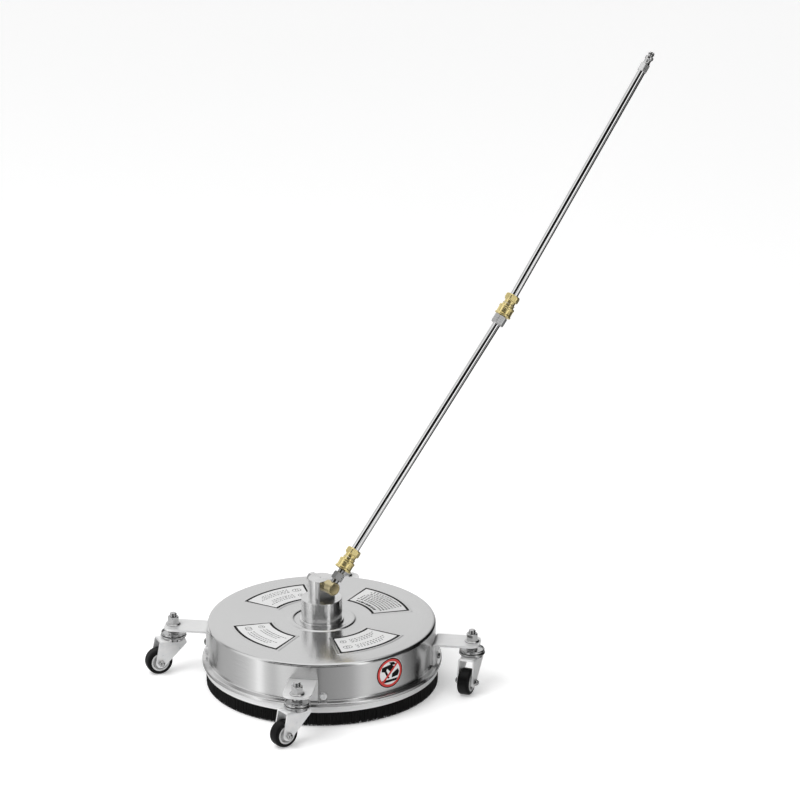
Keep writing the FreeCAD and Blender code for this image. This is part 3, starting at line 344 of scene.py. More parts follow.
ink("label_black", grey(0.004), grey(0.010), 0.08, 0.5)
ink("label_grey", grey(0.10), grey(0.16), 0.15)
ink("sign_red", (0.60, 0.028, 0.022), (0.72, 0.04, 0.032))

# ================ ways of making a piece

SHARP_ANGLE = radians(32)
ANY_HEIGHT = 1e9


def show(name, bm, look, node=None, body="deck"):
    """A finished piece: it has its look, rides on its body and hides the CAD node it replaces."""
    bmesh.ops.recalc_face_normals(bm, faces=bm.faces)
    mesh = bpy.data.meshes.new(name)
    bm.to_mesh(mesh)
    bm.free()
    piece = bpy.data.objects.new(name, mesh)
    bpy.context.collection.objects.link(piece)
    mesh.materials.append(LOOKS[look])
    mesh.polygons.foreach_set("use_smooth", [True] * len(mesh.polygons))
    mesh.set_sharp_from_angle(angle=SHARP_ANGLE)
    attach(piece, body)
    if node:
        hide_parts(node)
    return piece


def eased(corners, steps=4):
    """A closed outline from (x, y, ease) corners; ease is how far from the corner its round begins."""
    points = []
    for index, (x, y, *ease) in enumerate(corners):
        middle = Vector((x, y))
        if not ease:
            points.append(middle)
            continue
        before = Vector(corners[index - 1][:2]) - middle
        after = Vector(corners[(index + 1) % len(corners)][:2]) - middle
        reach = min(ease[0], before.length * 0.48, after.length * 0.48)
        start, end = middle + before.normalized() * reach, middle + after.normalized() * reach
        for step in range(steps + 1):
            t = step / steps
            points.append(start * (1 - t) ** 2 + middle * 2 * t * (1 - t) + end * t * t)
    return points


def raised(corners, by):
    """An outline's corners, moved along its axis."""
    return [(radius, by + height, *ease) for radius, height, *ease in corners]


def symmetric(corners):
    """An outline from the corners of its lower half."""
    return corners + [(radius, -height, *ease) for radius, height, *ease in reversed(corners)]


def clip_radius(radius, height, angle, flats):
    """A radius held back by flat sides: (distance, azimuth, lowest, highest) each."""
    for distance, azimuth, low, high in flats:
        lean = cos(angle - azimuth)
        if lean > 1e-6 and low <= height <= high:
            radius = min(radius, distance / lean)
    return radius


def hex_flats(across, low=-ANY_HEIGHT, high=ANY_HEIGHT, turn=0.0):
    return [(across / 2, radians(turn + 60 * side), low, high) for side in range(6)]


def spaced(angles, gap):
    """Angles in order, without those that follow another too closely."""
    angles = sorted(angles)
    return [angle for before, angle in zip([-1.0] + angles, angles) if angle - before > gap]


def stitch(bm, low, high):
    """Faces between two rings, either of which can be one point on the axis."""
    if len(low) == 1 and len(high) == 1:
        return
    count = max(len(low), len(high))
    for step in range(count):
        after = (step + 1) % count
        if len(low) == 1:
            bm.faces.new((low[0], high[step], high[after]))
        elif len(high) == 1:
            bm.faces.new((low[step], low[after], high[0]))
        else:
            bm.faces.new((low[step], low[after], high[after], high[step]))


def stitch_round(bm, rings):
    """Faces between each ring and the next, and from the last ring back to the first."""
    for ring, after in zip(rings, rings[1:] + rings[:1]):
        stitch(bm, ring, after)


def spun(outline, angles, place, shaped):
    """A closed solid about the place's Z; `shaped` turns a radius, height and angle into the first two."""
    bm = bmesh.new()
    rings = []
    for radius, height in outline:
        if radius < 1e-6:
            rings.append([bm.verts.new(place @ Vector((0, 0, height)))])
            continue
        ring = []
        for angle in angles:
            reach, level = shaped(radius, height, angle)
            ring.append(bm.verts.new(place @ polar(reach, angle, level)))
        rings.append(ring)
    stitch_round(bm, rings)
    return bm


def revolved(corners, place, flats=(), segments=96, extra_angles=()):
    """A closed solid of revolution about the place's Z; flats cut its sides straight."""
    outline = eased(corners)
    if flats:
        finer = []
        for point, after in zip(outline, outline[1:] + outline[:1]):
            finer.append(point)
            if abs(after.x - point.x) > 0.2 and min(after.x, point.x) > 0:
                finer += [point.lerp(after, step / 6) for step in range(1, 6)]
        outline = finer
    angles = {tau * step / segments for step in range(segments)}
    angles |= {angle % tau for angle in extra_angles}
    if len(flats) == 6:
        angles |= {(azimuth + pi / 6) % tau for _, azimuth, _, _ in flats}
    return spun(outline, spaced(angles, 1e-5), place,
                lambda radius, height, angle: (clip_radius(radius, height, angle, flats), height))


def turned(name, corners, place, look, node=None, body="deck", **cut):
    """A piece that is one solid of revolution."""
    return show(name, revolved(corners, place, **cut), look, node, body)


def thread(radius, low, high, pitch, depth, place, segments=40):
    """A threaded rod with a chamfered top."""
    bm = bmesh.new()
    rows = int((high - low) / pitch * 6)
    rings = [[bm.verts.new(place @ Vector((0, 0, low)))]]
    for row in range(rows + 1):
        height = low + (high - low) * row / rows
        limit = radius - max(0.0, height - high + depth * 2.2) * 0.9
        ring = []
        for step in range(segments):
            phase = (height / pitch - step / segments) % 1.0
            reach = min(limit, radius - depth * (1 - abs(2 * phase - 1)))
            ring.append(bm.verts.new(place @ polar(reach, tau * step / segments, height)))
        rings.append(ring)
    rings.append([bm.verts.new(place @ Vector((0, 0, high)))])
    for lower, upper in zip(rings, rings[1:]):
        stitch(bm, lower, upper)
    return bm


def disc(radius, around=72):
    """The (x, y) corners of a round shape."""
    angles = [tau * k / around for k in range(around)]
    return [(radius * cos(angle), radius * sin(angle)) for angle in angles]


def ring_cord(radius, thick, height):
    """The outline of a round cord bent into a ring."""
    return [(radius + x, height + y) for x, y in disc(thick, 10)]


def sandwich(front, back):
    """A closed solid between two grids of points of the same shape."""
    bm = bmesh.new()
    rows, columns = len(front), len(front[0])
    grids = [[[bm.verts.new(point) for point in row] for row in grid] for grid in (front, back)]
    for grid in grids:
        for low, high in zip(grid, grid[1:]):
            for k in range(columns - 1):
                bm.faces.new((low[k], low[k + 1], high[k + 1], high[k]))
    edge = [(0, c) for c in range(columns)] + [(r, columns - 1) for r in range(1, rows)]
    edge += [(rows - 1, c) for c in range(columns - 2, -1, -1)] + [(r, 0) for r in range(rows - 2, 0, -1)]
    stitch(bm, *[[grid[row][column] for row, column in edge] for grid in grids])
    bmesh.ops.remove_doubles(bm, verts=bm.verts, dist=1e-7)
    return bm


def bevelled(piece, width_mm):
    """Rounds the edges that a sheet's cut faces have."""
    bevel = piece.modifiers.new("bevel", "BEVEL")
    bevel.width = width_mm * MM
    bevel.segments = 2
    bevel.limit_method = "ANGLE"
    bevel.angle_limit = radians(60)
    bevel.harden_normals = True


def merged(*meshes):
    """Several bmeshes as one."""
    whole = bmesh.new()
    for bm in meshes:
        mesh = bpy.data.meshes.new("part")
        bmesh.ops.recalc_face_normals(bm, faces=bm.faces)
        bm.to_mesh(mesh)
        bm.free()
        whole.from_mesh(mesh)
        bpy.data.meshes.remove(mesh)
    return whole


# ================ deck

DECK_TOP, DECK_WALL, WALL_R = 109.0, 1.5, 190.0
PAD_MIDDLE, PAD_HALF, PAD_ANGLE, PAD_RISE, PAD_EASE = 117.0, 34.0, 25.5, 0.8, 3.5
PAD_TURNS = (45, 135, 225, 315)
# radii across the pads, close together at their inner and outer edges
PAD_RADII = [76, 78, 79, 80, 80.8, 81.6, 82.4, 83.2, 84, 86, 90, 97, 104, 111, 118, 125, 132, 139, 145, 149,
             150.5, 151.5, 152.3, 153.1, 154, 155, 156, 158]


def pad_rise(radius, angle):
    """How far the top is pressed up at a point: four soft-edged fans."""
    rise = 0.0
    for turn in PAD_TURNS:
        away = abs((degrees(angle) - turn + 180) % 360 - 180)
        across = radians(away - PAD_ANGLE) * radius
        along = abs(radius - PAD_MIDDLE) - PAD_HALF
        gap = hypot(max(across, 0), max(along, 0)) + min(max(across, along), 0)
        t = min(max(1 - gap / PAD_EASE, 0), 1)
        rise = max(rise, PAD_RISE * t * t * (3 - 2 * t))
    return rise


def deck_shell():
    """A spun dish: a bead round the hub, pressed pads, a rounded shoulder and a lip at the foot."""
    under = DECK_TOP - DECK_WALL
    outer = [(26.2, DECK_TOP), (46, DECK_TOP, 1.6), (48.5, 111, 1.6), (54.5, 111, 1.6), (57, DECK_TOP, 1.6)]
    outer += [(radius, DECK_TOP) for radius in PAD_RADII]
    outer += [(WALL_R, DECK_TOP, 6.0), (WALL_R, 45, 1.4), (200, 43.8, 2.2), (200, 37.5, 0.5)]
    inner = [(198.5, 37.5, 0.5), (198.5, 42.3, 1.0), (188.5, 43.5, 0.8), (188.5, under, 4.5)]
    inner += [(radius, under) for radius in reversed(PAD_RADII)]
    inner += [(56.2, under, 1.2), (53.7, 109.5, 1.2), (49.3, 109.5, 1.2), (46.8, under, 1.2), (26.2, under)]
    angles = {round(tau * step / 288, 6) for step in range(288)}
    for turn in PAD_TURNS:
        for hand in (-1, 1):
            for step in range(-2, 9):
                edge = radians(turn + hand * (PAD_ANGLE + step * 0.42))
                angles.add(round(edge % tau, 6))
    dish = spun(eased(outer + inner, 6), spaced(angles, 0.0015), DECK,
                lambda radius, height, angle: (radius, height + pad_rise(radius, angle)))
    show("deck_shell", dish, "stainless_sheet", "deck_housing")


def on_wall(turn, across, height, radius):
    """A point on a circle about the deck's axis, so many millimetres round from an azimuth."""
    return DECK @ polar(radius, radians(turn) + across / WALL_R, height)


# ================ brush

BAND_TURN = 9.8
EAR_LOW, EAR_TOP, EAR_HALF = 41.7, 60.0, 7.0
BRISTLE_COUNT, BRISTLE_ROWS, ROW_GAP = 4200, 5, 1.2
BRISTLE_ROOT, BRISTLE_MIDDLE, TUFT_FOOT = 38.0, 20.0, 4.0
PLEAT_COUNT = 720
# angle, how far the pleat stands out, and how far its foot hangs or stops short
PLEATS = [(tau * step / PLEAT_COUNT, random.uniform(-0.35, 0.35), random.uniform(-2.0, 1.5))
          for step in range(PLEAT_COUNT)]


def ear_grid(turn, radius):
    """One face of an ear: a strip up the wall with a round end."""
    round_from = EAR_TOP - EAR_HALF
    grid = []
    for step in range(13):
        height = EAR_LOW + (EAR_TOP - EAR_LOW) * step / 12
        half = EAR_HALF
        if height >= round_from:
            half = sqrt(max(EAR_HALF ** 2 - (height - round_from) ** 2, 0.04))
        grid.append([on_wall(turn, half * k / 4, height, radius) for k in range(-4, 5)])
    return grid


def brush_band():
    """The channel that holds the bristles, with four ears that are bolted inside the wall."""
    channel = revolved([(195.4, 26, 0.5), (195.4, 42.3, 1.8), (186.2, 42.3, 1.8), (186.2, 26, 0.5),
                        (187.4, 26, 0.4), (187.4, 41.1, 0.6), (194.2, 41.1, 0.6), (194.2, 26, 0.4)],
                       DECK, segments=288)
    ears = [sandwich(*[ear_grid(turn + BAND_TURN, radius) for radius in (186.3, 188.0)])
            for turn in SIDES.values()]
    show("brush_channel", merged(channel, *ears), "band_steel", "brush_band")


def filament(bm, index):
    """One nylon bristle: three-sided, tapered and leaning a little."""
    angle = tau * (index + random.uniform(-0.4, 0.4)) / BRISTLE_COUNT
    root = 188.3 + index % BRISTLE_ROWS * ROW_GAP
    foot = min(root + random.gauss(0.1, 0.3), 193.0)
    sway = random.gauss(0, 0.002)
    low = 1.2 + abs(random.gauss(0, 0.3))
    thick = random.uniform(0.42, 0.62)
    rings = []
    for radius, height, turn, size in ((root, BRISTLE_ROOT, angle, thick),
                                       ((root + foot) / 2, BRISTLE_MIDDLE, angle + sway * 0.3, thick * 0.95),
                                       (foot, low, angle + sway, thick * 0.7)):
        centre = polar(radius, turn, height)
        corners = [centre + polar(size, k * tau / 3 + index) for k in range(3)]
        rings.append([bm.verts.new(DECK @ corner) for corner in corners])
    for lower, upper in zip(rings, rings[1:]):
        stitch(bm, lower, upper)
    bm.faces.new(rings[0])
    bm.faces.new(rings[-1])


def bristles():
    """Staggered rows of filaments round a pleated core, which keeps the skirt opaque, in a rubber strip."""
    filaments = bmesh.new()
    for index in range(BRISTLE_COUNT):
        filament(filaments, index)
    show("bristle_filaments", filaments, "bristles", "bristle_skirt")
    core = bmesh.new()
    outer, inner = 191.1, 189.9
    rings = []
    for radius, height in ((outer, BRISTLE_ROOT), (outer, BRISTLE_MIDDLE), (outer, TUFT_FOOT),
                           (inner, TUFT_FOOT), (inner, BRISTLE_MIDDLE), (inner, BRISTLE_ROOT)):
        hangs = height == TUFT_FOOT
        rings.append([core.verts.new(DECK @ polar(radius + pleat, angle, height + drop * hangs))
                      for angle, pleat, drop in PLEATS])
    stitch_round(core, rings)
    show("bristle_tufts", core, "bristles")
    strip = [(187.6, 31, 0.6), (194.0, 31, 0.6), (194.0, 40.9, 0.4), (187.6, 40.9, 0.4)]
    turned("bristle_strip", strip, DECK, "seal_rubber", segments=192)


# ================ labels

LABEL_LOW, LABEL_TOP = 109.75, 110.0
PRINT = (LABEL_TOP, LABEL_TOP + 0.03)
LABEL_INNER, LABEL_OUTER, LABEL_HALF = 85.0, 149.5, 24.3
SIDE_RIM, ARC_RIM = 2.9, 4.4
WORD_GAP = 1.1
MAIN_LABEL = 45
# rows of words: radius, height of the letters, first and last angle, longest word
MAIN_ROWS = [(92.5, 4.6, -15, 16, 7)]
MAIN_ROWS += [(102.0 + 5.4 * k, 2.2, -19 + k * 0.4, 19 - k * 0.4, 6) for k in range(8)]
SIDE_ROWS = [(start + 5.2 * k, 2.0, -10, 19 - 3.0 * k, 5) for start in (101.0, 124.0) for k in range(3)]
# round marks beside the rows: radius, and how far round from the marks' line
MARK_ANGLE, MARKS = -16.5, ((105.6, 0.0), (128.4, -2.4), (128.4, 2.4))


def sector(r_low, r_high, t_low, t_high, z_low, z_high, step=2.5):
    """A thin annular sector lying on the deck; angles in degrees."""
    across = max(1, ceil(abs(t_high - t_low) / step))
    angles = [radians(t_low + (t_high - t_low) * k / across) for k in range(across + 1)]
    return sandwich(*[[[DECK @ polar(radius, angle, height) for angle in angles]
                       for radius in (r_low, r_high)] for height in (z_high, z_low)])


def label_border(turn):
    start, end = turn - LABEL_HALF, turn + LABEL_HALF
    borders = [sector(LABEL_INNER, LABEL_INNER + ARC_RIM, start, end, *PRINT, 1.0),
               sector(LABEL_OUTER - ARC_RIM, LABEL_OUTER, start, end, *PRINT, 1.0)]
    rim = degrees(SIDE_RIM / PAD_MIDDLE)
    for low, high in ((start, start + rim), (end - rim, end)):
        borders.append(sector(LABEL_INNER + ARC_RIM, LABEL_OUTER - ARC_RIM, low, high, *PRINT))
    return merged(*borders)


def label_words(turn, rows):
    """Rows of bars of uneven length, as print looks from afar."""
    words = []
    for radius, tall, begin, end, longest in rows:
        at = begin + turn
        while at < end + turn - 1:
            word = degrees(random.uniform(longest * 0.35, longest) / radius)
            stop = min(at + word, end + turn)
            words.append(sector(radius, radius + tall, at, stop, *PRINT))
            at = stop + WORD_GAP
    return merged(*words)


def label_marks(turn):
    """Small rings beside the rows, the first with two short bars in it."""
    marks = []
    low, high = PRINT
    for radius, offset in MARKS:
        centre = polar(radius, radians(turn + MARK_ANGLE) + offset / radius)
        top = high + offset * 0.001
        marks.append(revolved([(4.6, low), (5.4, low), (5.4, top), (4.6, top)],
                              DECK @ Matrix.Translation(centre), segments=40))
    marks.append(sector(103.6, 104.6, turn - 17.8, turn - 15.4, *PRINT))
    marks.append(sector(105.6, 108.4, turn - 17.0, turn - 16.3, *PRINT))
    return merged(*marks)


def label(turn):
    main = turn == MAIN_LABEL
    film = sector(LABEL_INNER, LABEL_OUTER, turn - LABEL_HALF, turn + LABEL_HALF, LABEL_LOW, LABEL_TOP, 1.0)
    show(f"label_film_{turn}", film, "label_white")
    show(f"label_border_{turn}", label_border(turn), "label_black")
    words = label_words(turn, MAIN_ROWS if main else SIDE_ROWS)
    show(f"label_text_{turn}", words, "label_black" if main else "label_grey")
    if not main:
        show(f"label_rings_{turn}", label_marks(turn), "label_black")


# ================ round sign on the wall

SIGN_TURN, SIGN_Z, FILM = -45.0, 78.0, 0.05
# the picture's shapes in millimetres from the sign's centre: a hand tool over a foot on the ground
PICTURE = [
    [(-16, 12), (2, 15), (9, 9), (1, 1), (-6, 9), (-9, 3), (-17, 5)],
    [(4, -2), (16, 4), (19, -2), (16, -8), (3, -9)],
    [(-13, 7), (-8, 6), (-1, -9), (-5, -9)],
    [(-3, 19), (7, 18), (13, 12), (3, 13)],
    [(-17, -11), (16, -12), (12, -16), (-12, -16)],
]
SLASH = [(13.2, 15.6), (15.6, 13.2), (-13.2, -15.6), (-15.6, -13.2)]


def on_sign(x, y, lift):
    return on_wall(SIGN_TURN, x, SIGN_Z + y, WALL_R + lift)


def wall_patch(shape, lift, strip=3.0):
    """A flat shape, given by its corners, cut into strips and wrapped on the deck's wall."""
    bm = bmesh.new()
    bm.faces.new([bm.verts.new((x, y, 0)) for x, y in shape])
    low, high = min(x for x, _ in shape), max(x for x, _ in shape)
    cuts = int((high - low) / strip) + 1
    for k in range(1, cuts):
        geometry = bm.verts[:] + bm.edges[:] + bm.faces[:]
        cut_at = (low + (high - low) * k / cuts, 0, 0)
        bmesh.ops.bisect_plane(bm, geom=geometry, plane_co=cut_at, plane_no=(1, 0, 0))
    for item in bmesh.ops.extrude_face_region(bm, geom=bm.faces[:])["geom"]:
        if isinstance(item, bmesh.types.BMVert):
            item.co.z = FILM
    for vert in bm.verts:
        vert.co = on_sign(vert.co.x, vert.co.y, lift + vert.co.z)
    return bm


def ring_shape(inner, outer, lift):
    """A flat ring wrapped on the deck's wall."""
    bm = bmesh.new()
    top = lift + FILM
    stitch_round(bm, [[bm.verts.new(on_sign(x, y, height)) for x, y in disc(radius, 96)]
                      for radius, height in ((inner, top), (outer, top), (outer, lift), (inner, lift))])
    return bm


def prohibition_sign():
    picture = merged(*[wall_patch(shape, 0.17) for shape in PICTURE])
    for name, mesh, look in (("film", wall_patch(disc(26.5), 0.1), "label_white"),
                             ("outline", ring_shape(24.2, 26.0, 0.17), "label_black"),
                             ("picture", picture, "label_black"),
                             ("ring", ring_shape(20.2, 24.2, 0.18), "sign_red"),
                             ("slash", wall_patch(SLASH, 0.24), "sign_red")):
        show(f"sign_{name}", mesh, look)


# ================ arms and their bolts

ARM_HALF, ARM_IN, ARM_LOW, ARM_TOP, ARM_WALL, ARM_BEND = 24.0, 190.1, 46.2, 84.0, 4.0, 1.0
ARM_OUT, ARM_REACH, ARM_CORNER = 194.1, 266.0, 16.0
SHEET_BEVEL = 0.5


def arm(side, turn):
    """A strip bent from the deck's wall into a shelf with a round-cornered end."""
    outer_bend, under = ARM_BEND + ARM_WALL, ARM_TOP - ARM_WALL
    place = DECK @ Matrix.Rotation(radians(turn), 4, "Z")
    outer, inner = [], []
    for across in [ARM_HALF * k / 20 for k in range(-20, 21)]:
        wall_out = sqrt(ARM_OUT ** 2 - across ** 2)
        wall_in = sqrt(ARM_IN ** 2 - across ** 2)
        over = max(0.0, abs(across) - (ARM_HALF - ARM_CORNER))
        end = ARM_REACH - ARM_CORNER + sqrt(max(ARM_CORNER ** 2 - over ** 2, 0.0))
        heights = [ARM_LOW + (under - ARM_BEND - ARM_LOW) * step / 6 for step in range(7)]
        front = [(wall_out, height) for height in heights]
        back = [(wall_in, height) for height in heights]
        for angle in [pi / 2 * step / 6 for step in range(1, 7)]:
            ahead, up = 1 - cos(angle), sin(angle)
            front.append((wall_out + ARM_BEND * ahead, under - ARM_BEND + ARM_BEND * up))
            back.append((wall_in + outer_bend * ahead, ARM_TOP - outer_bend + outer_bend * up))
        for line, height in ((front, under), (back, ARM_TOP)):
            start = line[-1][0]
            line += [(start + (end - start) * step / 16, height) for step in range(1, 17)]
        outer.append([place @ Vector((x, across, z)) for x, z in front])
        inner.append([place @ Vector((x, across, z)) for x, z in back])
    piece = show(f"arm_strip_{side}", sandwich(outer, inner), "arm_steel", f"caster_arm_{side}")
    bevelled(piece, SHEET_BEVEL)


def outward(turn, height):
    """A frame on the deck's axis at a height whose Z points out at an azimuth."""
    return frame_at(AXIS + Vector((0, 0, height * MM)), polar(1, radians(turn)))


def wall_bolt(place, seat, nut_at):
    """An M6 bolt: washer and six-sided head outside, nut and a few threads inside."""
    washer = [(3.2, 0, 0.1), (6, 0, 0.2), (6, 1, 0.35), (3.2, 1, 0.1)]
    head = [(0, 0), (5.1, 0, 0.2), (5.75, 0.5, 0.2), (5.75, 3.5, 0.3), (4.7, 4.2, 0.3), (3.2, 4.2, 0.2),
            (2.9, 3.9, 0.1), (2.7, 2.6), (0, 2.4)]
    nut = [(3.02, -5), (4.7, -5, 0.2), (5.75, -4.4, 0.2), (5.75, -0.6, 0.2), (4.7, 0, 0.2), (3.02, 0)]
    return [revolved(raised(washer, seat), place, segments=48),
            revolved(raised(head, seat + 1), place, hex_flats(10), 48),
            revolved(raised(nut, nut_at), place, hex_flats(10), 48),
            thread(3.0, nut_at - 6, seat + 1.2, 1.0, 0.35, place, 24)]


def bolts():
    arm_parts, band_parts = [], []
    for turn in SIDES.values():
        arm_parts += wall_bolt(outward(turn, 55.5), 194.12, 188.35)
        band_parts += wall_bolt(outward(turn + BAND_TURN, 53.5), 190.02, 186.15)
    # The same bolts in two tones: the arm bolts take the darker zinc as painted shade, the band bolts the paler
    # fork zinc as painted highlight.
    show("arm_bolt_set", merged(*arm_parts), "zinc", "arm_bolts")
    show("band_bolt_set", merged(*band_parts), "fork_zinc", "band_bolts")


# ================ casters

STEM_R = 6.0
FORK_HALF, FORK_WALL, FORK_BEND, CROWN_LOW, BRIDGE = 14.0, 2.5, 4.0, 58.0, 4.0
FORK_TOP = CROWN_LOW + BRIDGE
# the side view of a leg: its round end, and the (reach, height) where each edge meets the crown
FORK_END, FORK_LEAD, FORK_BACK = 9.0, (-19.0, 53.0), (29.0, 59.0)
FORK_BEVEL = 0.45
TYRE_HALF, TYRE_R = 10.2, 22.5


def caster(side):
    foot = foot_of(f"caster_swivel_{side}")
    axle = place_of(f"wheel_spin_{side}")
    trail = (axle - foot) * Vector((1, 1, 0))
    across = frame_at(axle, Vector(UP).cross(trail))
    stem_parts(side, upright(foot))
    fork(side, frame_at(foot, UP, trail), trail.length / MM, axle.z / MM)
    axle_bolt(side, across)
    wheel(side, across)


def stem_parts(side, stem):
    """Kingpin, race and threaded stem."""
    race = revolved([(0, 54.5), (6.5, 54.5, 0.4), (8.5, 56, 0.6), (8.5, 57.7, 0.3), (5, 57.7), (5, 67),
                     (19.8, 67, 0.5), (21, 68.2, 0.6), (21, 70.8, 0.7), (20.2, 71.6, 0.4), (19.2, 71.6, 0.4),
                     (18, 69, 0.6), (9.5, 69, 0.6), (8.5, 70, 0.6), (8.5, 79.95, 0.5), (6, 79.95), (6, 83),
                     (0, 83)], stem, segments=72)
    rod = thread(STEM_R, 82.5, 104.5, 1.75, 0.6, stem)
    show(f"stem_race_{side}", merged(race, rod), "zinc", f"caster_stem_{side}")


def stem_nuts():
    """The flange nuts that hold the stems over the arms."""
    base, inner = 84.02, STEM_R + 0.02
    collar = [(inner, 0), (12.4, 0, 0.3), (12.4, 1.2, 0.5), (9.0, 3.0, 0.5), (inner, 3.0)]
    crown = [(inner, 1), (10.5, 1), (10.5, 12.6, 0.5), (9.0, 14.0, 0.5), (7.2, 14.6, 0.4), (6.3, 14.6, 0.2),
             (inner, 14.1)]
    nuts = []
    for side in SIDES:
        stem = upright(foot_of(f"caster_swivel_{side}"))
        nuts.append(revolved(raised(collar, base), stem, segments=72))
        nuts.append(revolved(raised(crown, base), stem, hex_flats(18, turn=12), 60))
    show("stem_nut_set", merged(*nuts), "zinc", "stem_nuts")


def fork_edge(corner, hand, height, trail, axle_z):
    """Where a leg's edge is at a height: round the axle, then straight to its corner, then to the crown."""
    away = Vector((corner[0] - trail, corner[1] - axle_z))
    touch = atan2(away.y, away.x) - hand * acos(FORK_END / away.length)
    point = Vector((trail + FORK_END * cos(touch), axle_z + FORK_END * sin(touch)))
    if height <= point.y:
        drop = min(max((axle_z - height) / FORK_END, -1.0), 1.0)
        return trail + hand * FORK_END * sqrt(max(1 - drop * drop, 0.0))
    if height >= corner[1]:
        return corner[0] - hand * (height - corner[1]) * 0.35
    t = (height - point.y) / (corner[1] - point.y)
    return point.x + (corner[0] - point.x) * t


def fork_path(axle_z):
    """Half of the channel's section, from a leg's foot to the middle: (outside x, z, inside x, z)."""
    low = axle_z - FORK_END
    flat = FORK_HALF - FORK_BEND
    path = []
    for k in range(27):
        height = low + (FORK_TOP - FORK_BEND - low) * (1 - cos(pi / 2 * k / 26))
        path.append((FORK_HALF, height, FORK_HALF - FORK_WALL, height))
    for step in range(1, 7):
        across, up = cos(pi / 2 * step / 6), sin(pi / 2 * step / 6)
        thicker = (BRIDGE - FORK_WALL) * step / 6
        path.append((flat + FORK_BEND * across, FORK_TOP - FORK_BEND + FORK_BEND * up,
                     flat + (FORK_BEND - FORK_WALL) * across - 0.2 * step / 6,
                     FORK_TOP - FORK_BEND + (FORK_BEND - FORK_WALL) * up - thicker))
    for step in range(1, 4):
        path.append((flat * (1 - step / 3), FORK_TOP, (flat - 0.2) * (1 - step / 3), CROWN_LOW))
    return path


def fork(side, swivel, trail, axle_z):
    """Pressed steel channel: two legs that taper to the axle, under a cupped crown."""
    path = fork_path(axle_z)
    path += [(-x_out, z_out, -x_in, z_in) for x_out, z_out, x_in, z_in in reversed(path[:-1])]
    outer, inner = [], []
    for x_out, z_out, x_in, z_in in path:
        start = fork_edge(FORK_LEAD, -1, z_out, trail, axle_z)
        end = fork_edge(FORK_BACK, 1, z_out, trail, axle_z)
        columns = [start + (end - start) * k / 16 for k in range(17)]
        outer.append([swivel @ Vector((column, x_out, z_out)) for column in columns])
        inner.append([swivel @ Vector((column, x_in, z_in)) for column in columns])
    body = f"caster_{side}"
    legs = show(f"fork_channel_{side}", sandwich(outer, inner), "fork_zinc", f"caster_fork_{side}", body)
    bevelled(legs, FORK_BEVEL)
    crown = [(5.05, 58), (18, 58, 0.4), (18, 62.4, 0.8), (20.5, 62.8, 0.6), (22, 64, 0.8), (22, 65.6, 0.7),
             (21.2, 66.4, 0.4), (5.05, 66.4)]
    turned(f"fork_crown_{side}", crown, swivel, "zinc", body=body, segments=72)


def axle_bolt(side, across):
    half = FORK_HALF + 0.02
    head = [(0, -4.2), (3.9, -4.2, 0.4), (4.8, -3.9, 0.3), (5.8, -3.2, 0.3), (5.8, 0, 0.2), (0, 0)]
    shank = [(0, -half - 0.1), (3, -half - 0.1), (3, half + 4), (0, half + 4)]
    nut = [(3.02, 0), (5.8, 0, 0.2), (5.8, 3.6, 0.3), (4.7, 4.4, 0.3), (4.3, 6, 0.8), (2.6, 7.2, 0.8),
           (0, 7.5), (0, 4.1), (3.02, 4.1)]
    screw = merged(revolved(raised(head, -half), across, hex_flats(10), 48),
                   revolved(shank, across, segments=32),
                   revolved(raised(nut, half), across, hex_flats(10), 48))
    show(f"axle_screw_{side}", screw, "zinc", f"axle_bolt_{side}", f"caster_{side}")


def wheel(side, across):
    """A rubber tyre on a plastic centre with a groove and a raised boss on each face."""
    body, edge, groove, boss = f"wheel_{side}", -TYRE_HALF, -3.4, -11.2
    face = edge + 0.8
    tread = [(16, edge, 0.2), (18.6, edge, 0.8), (20.6, edge + 0.7, 1.0), (22.0, edge + 2.6, 1.2),
             (TYRE_R, edge + 5.2, 1.5)]
    turned(f"tyre_tread_{side}", symmetric(tread), across, "tyre_rubber", f"tyre_{side}", body)
    centre = [(3.05, boss, 0.2), (6.4, boss, 0.4), (7.0, face - 0.2, 0.4), (7.6, groove, 0.5),
              (12.4, groove, 0.5), (13.0, face, 0.2), (13.4, face - 0.5, 0.3), (15.2, face - 0.5, 0.3),
              (16.0, face)]
    turned(f"wheel_centre_{side}", symmetric(centre), across, "hub_plastic", f"wheel_hub_{side}", body)


# ================ hub and swivel

HUB_R, HUB_FLAT, HUB_FLAT_TURN = 22, 15.9, radians(-45)


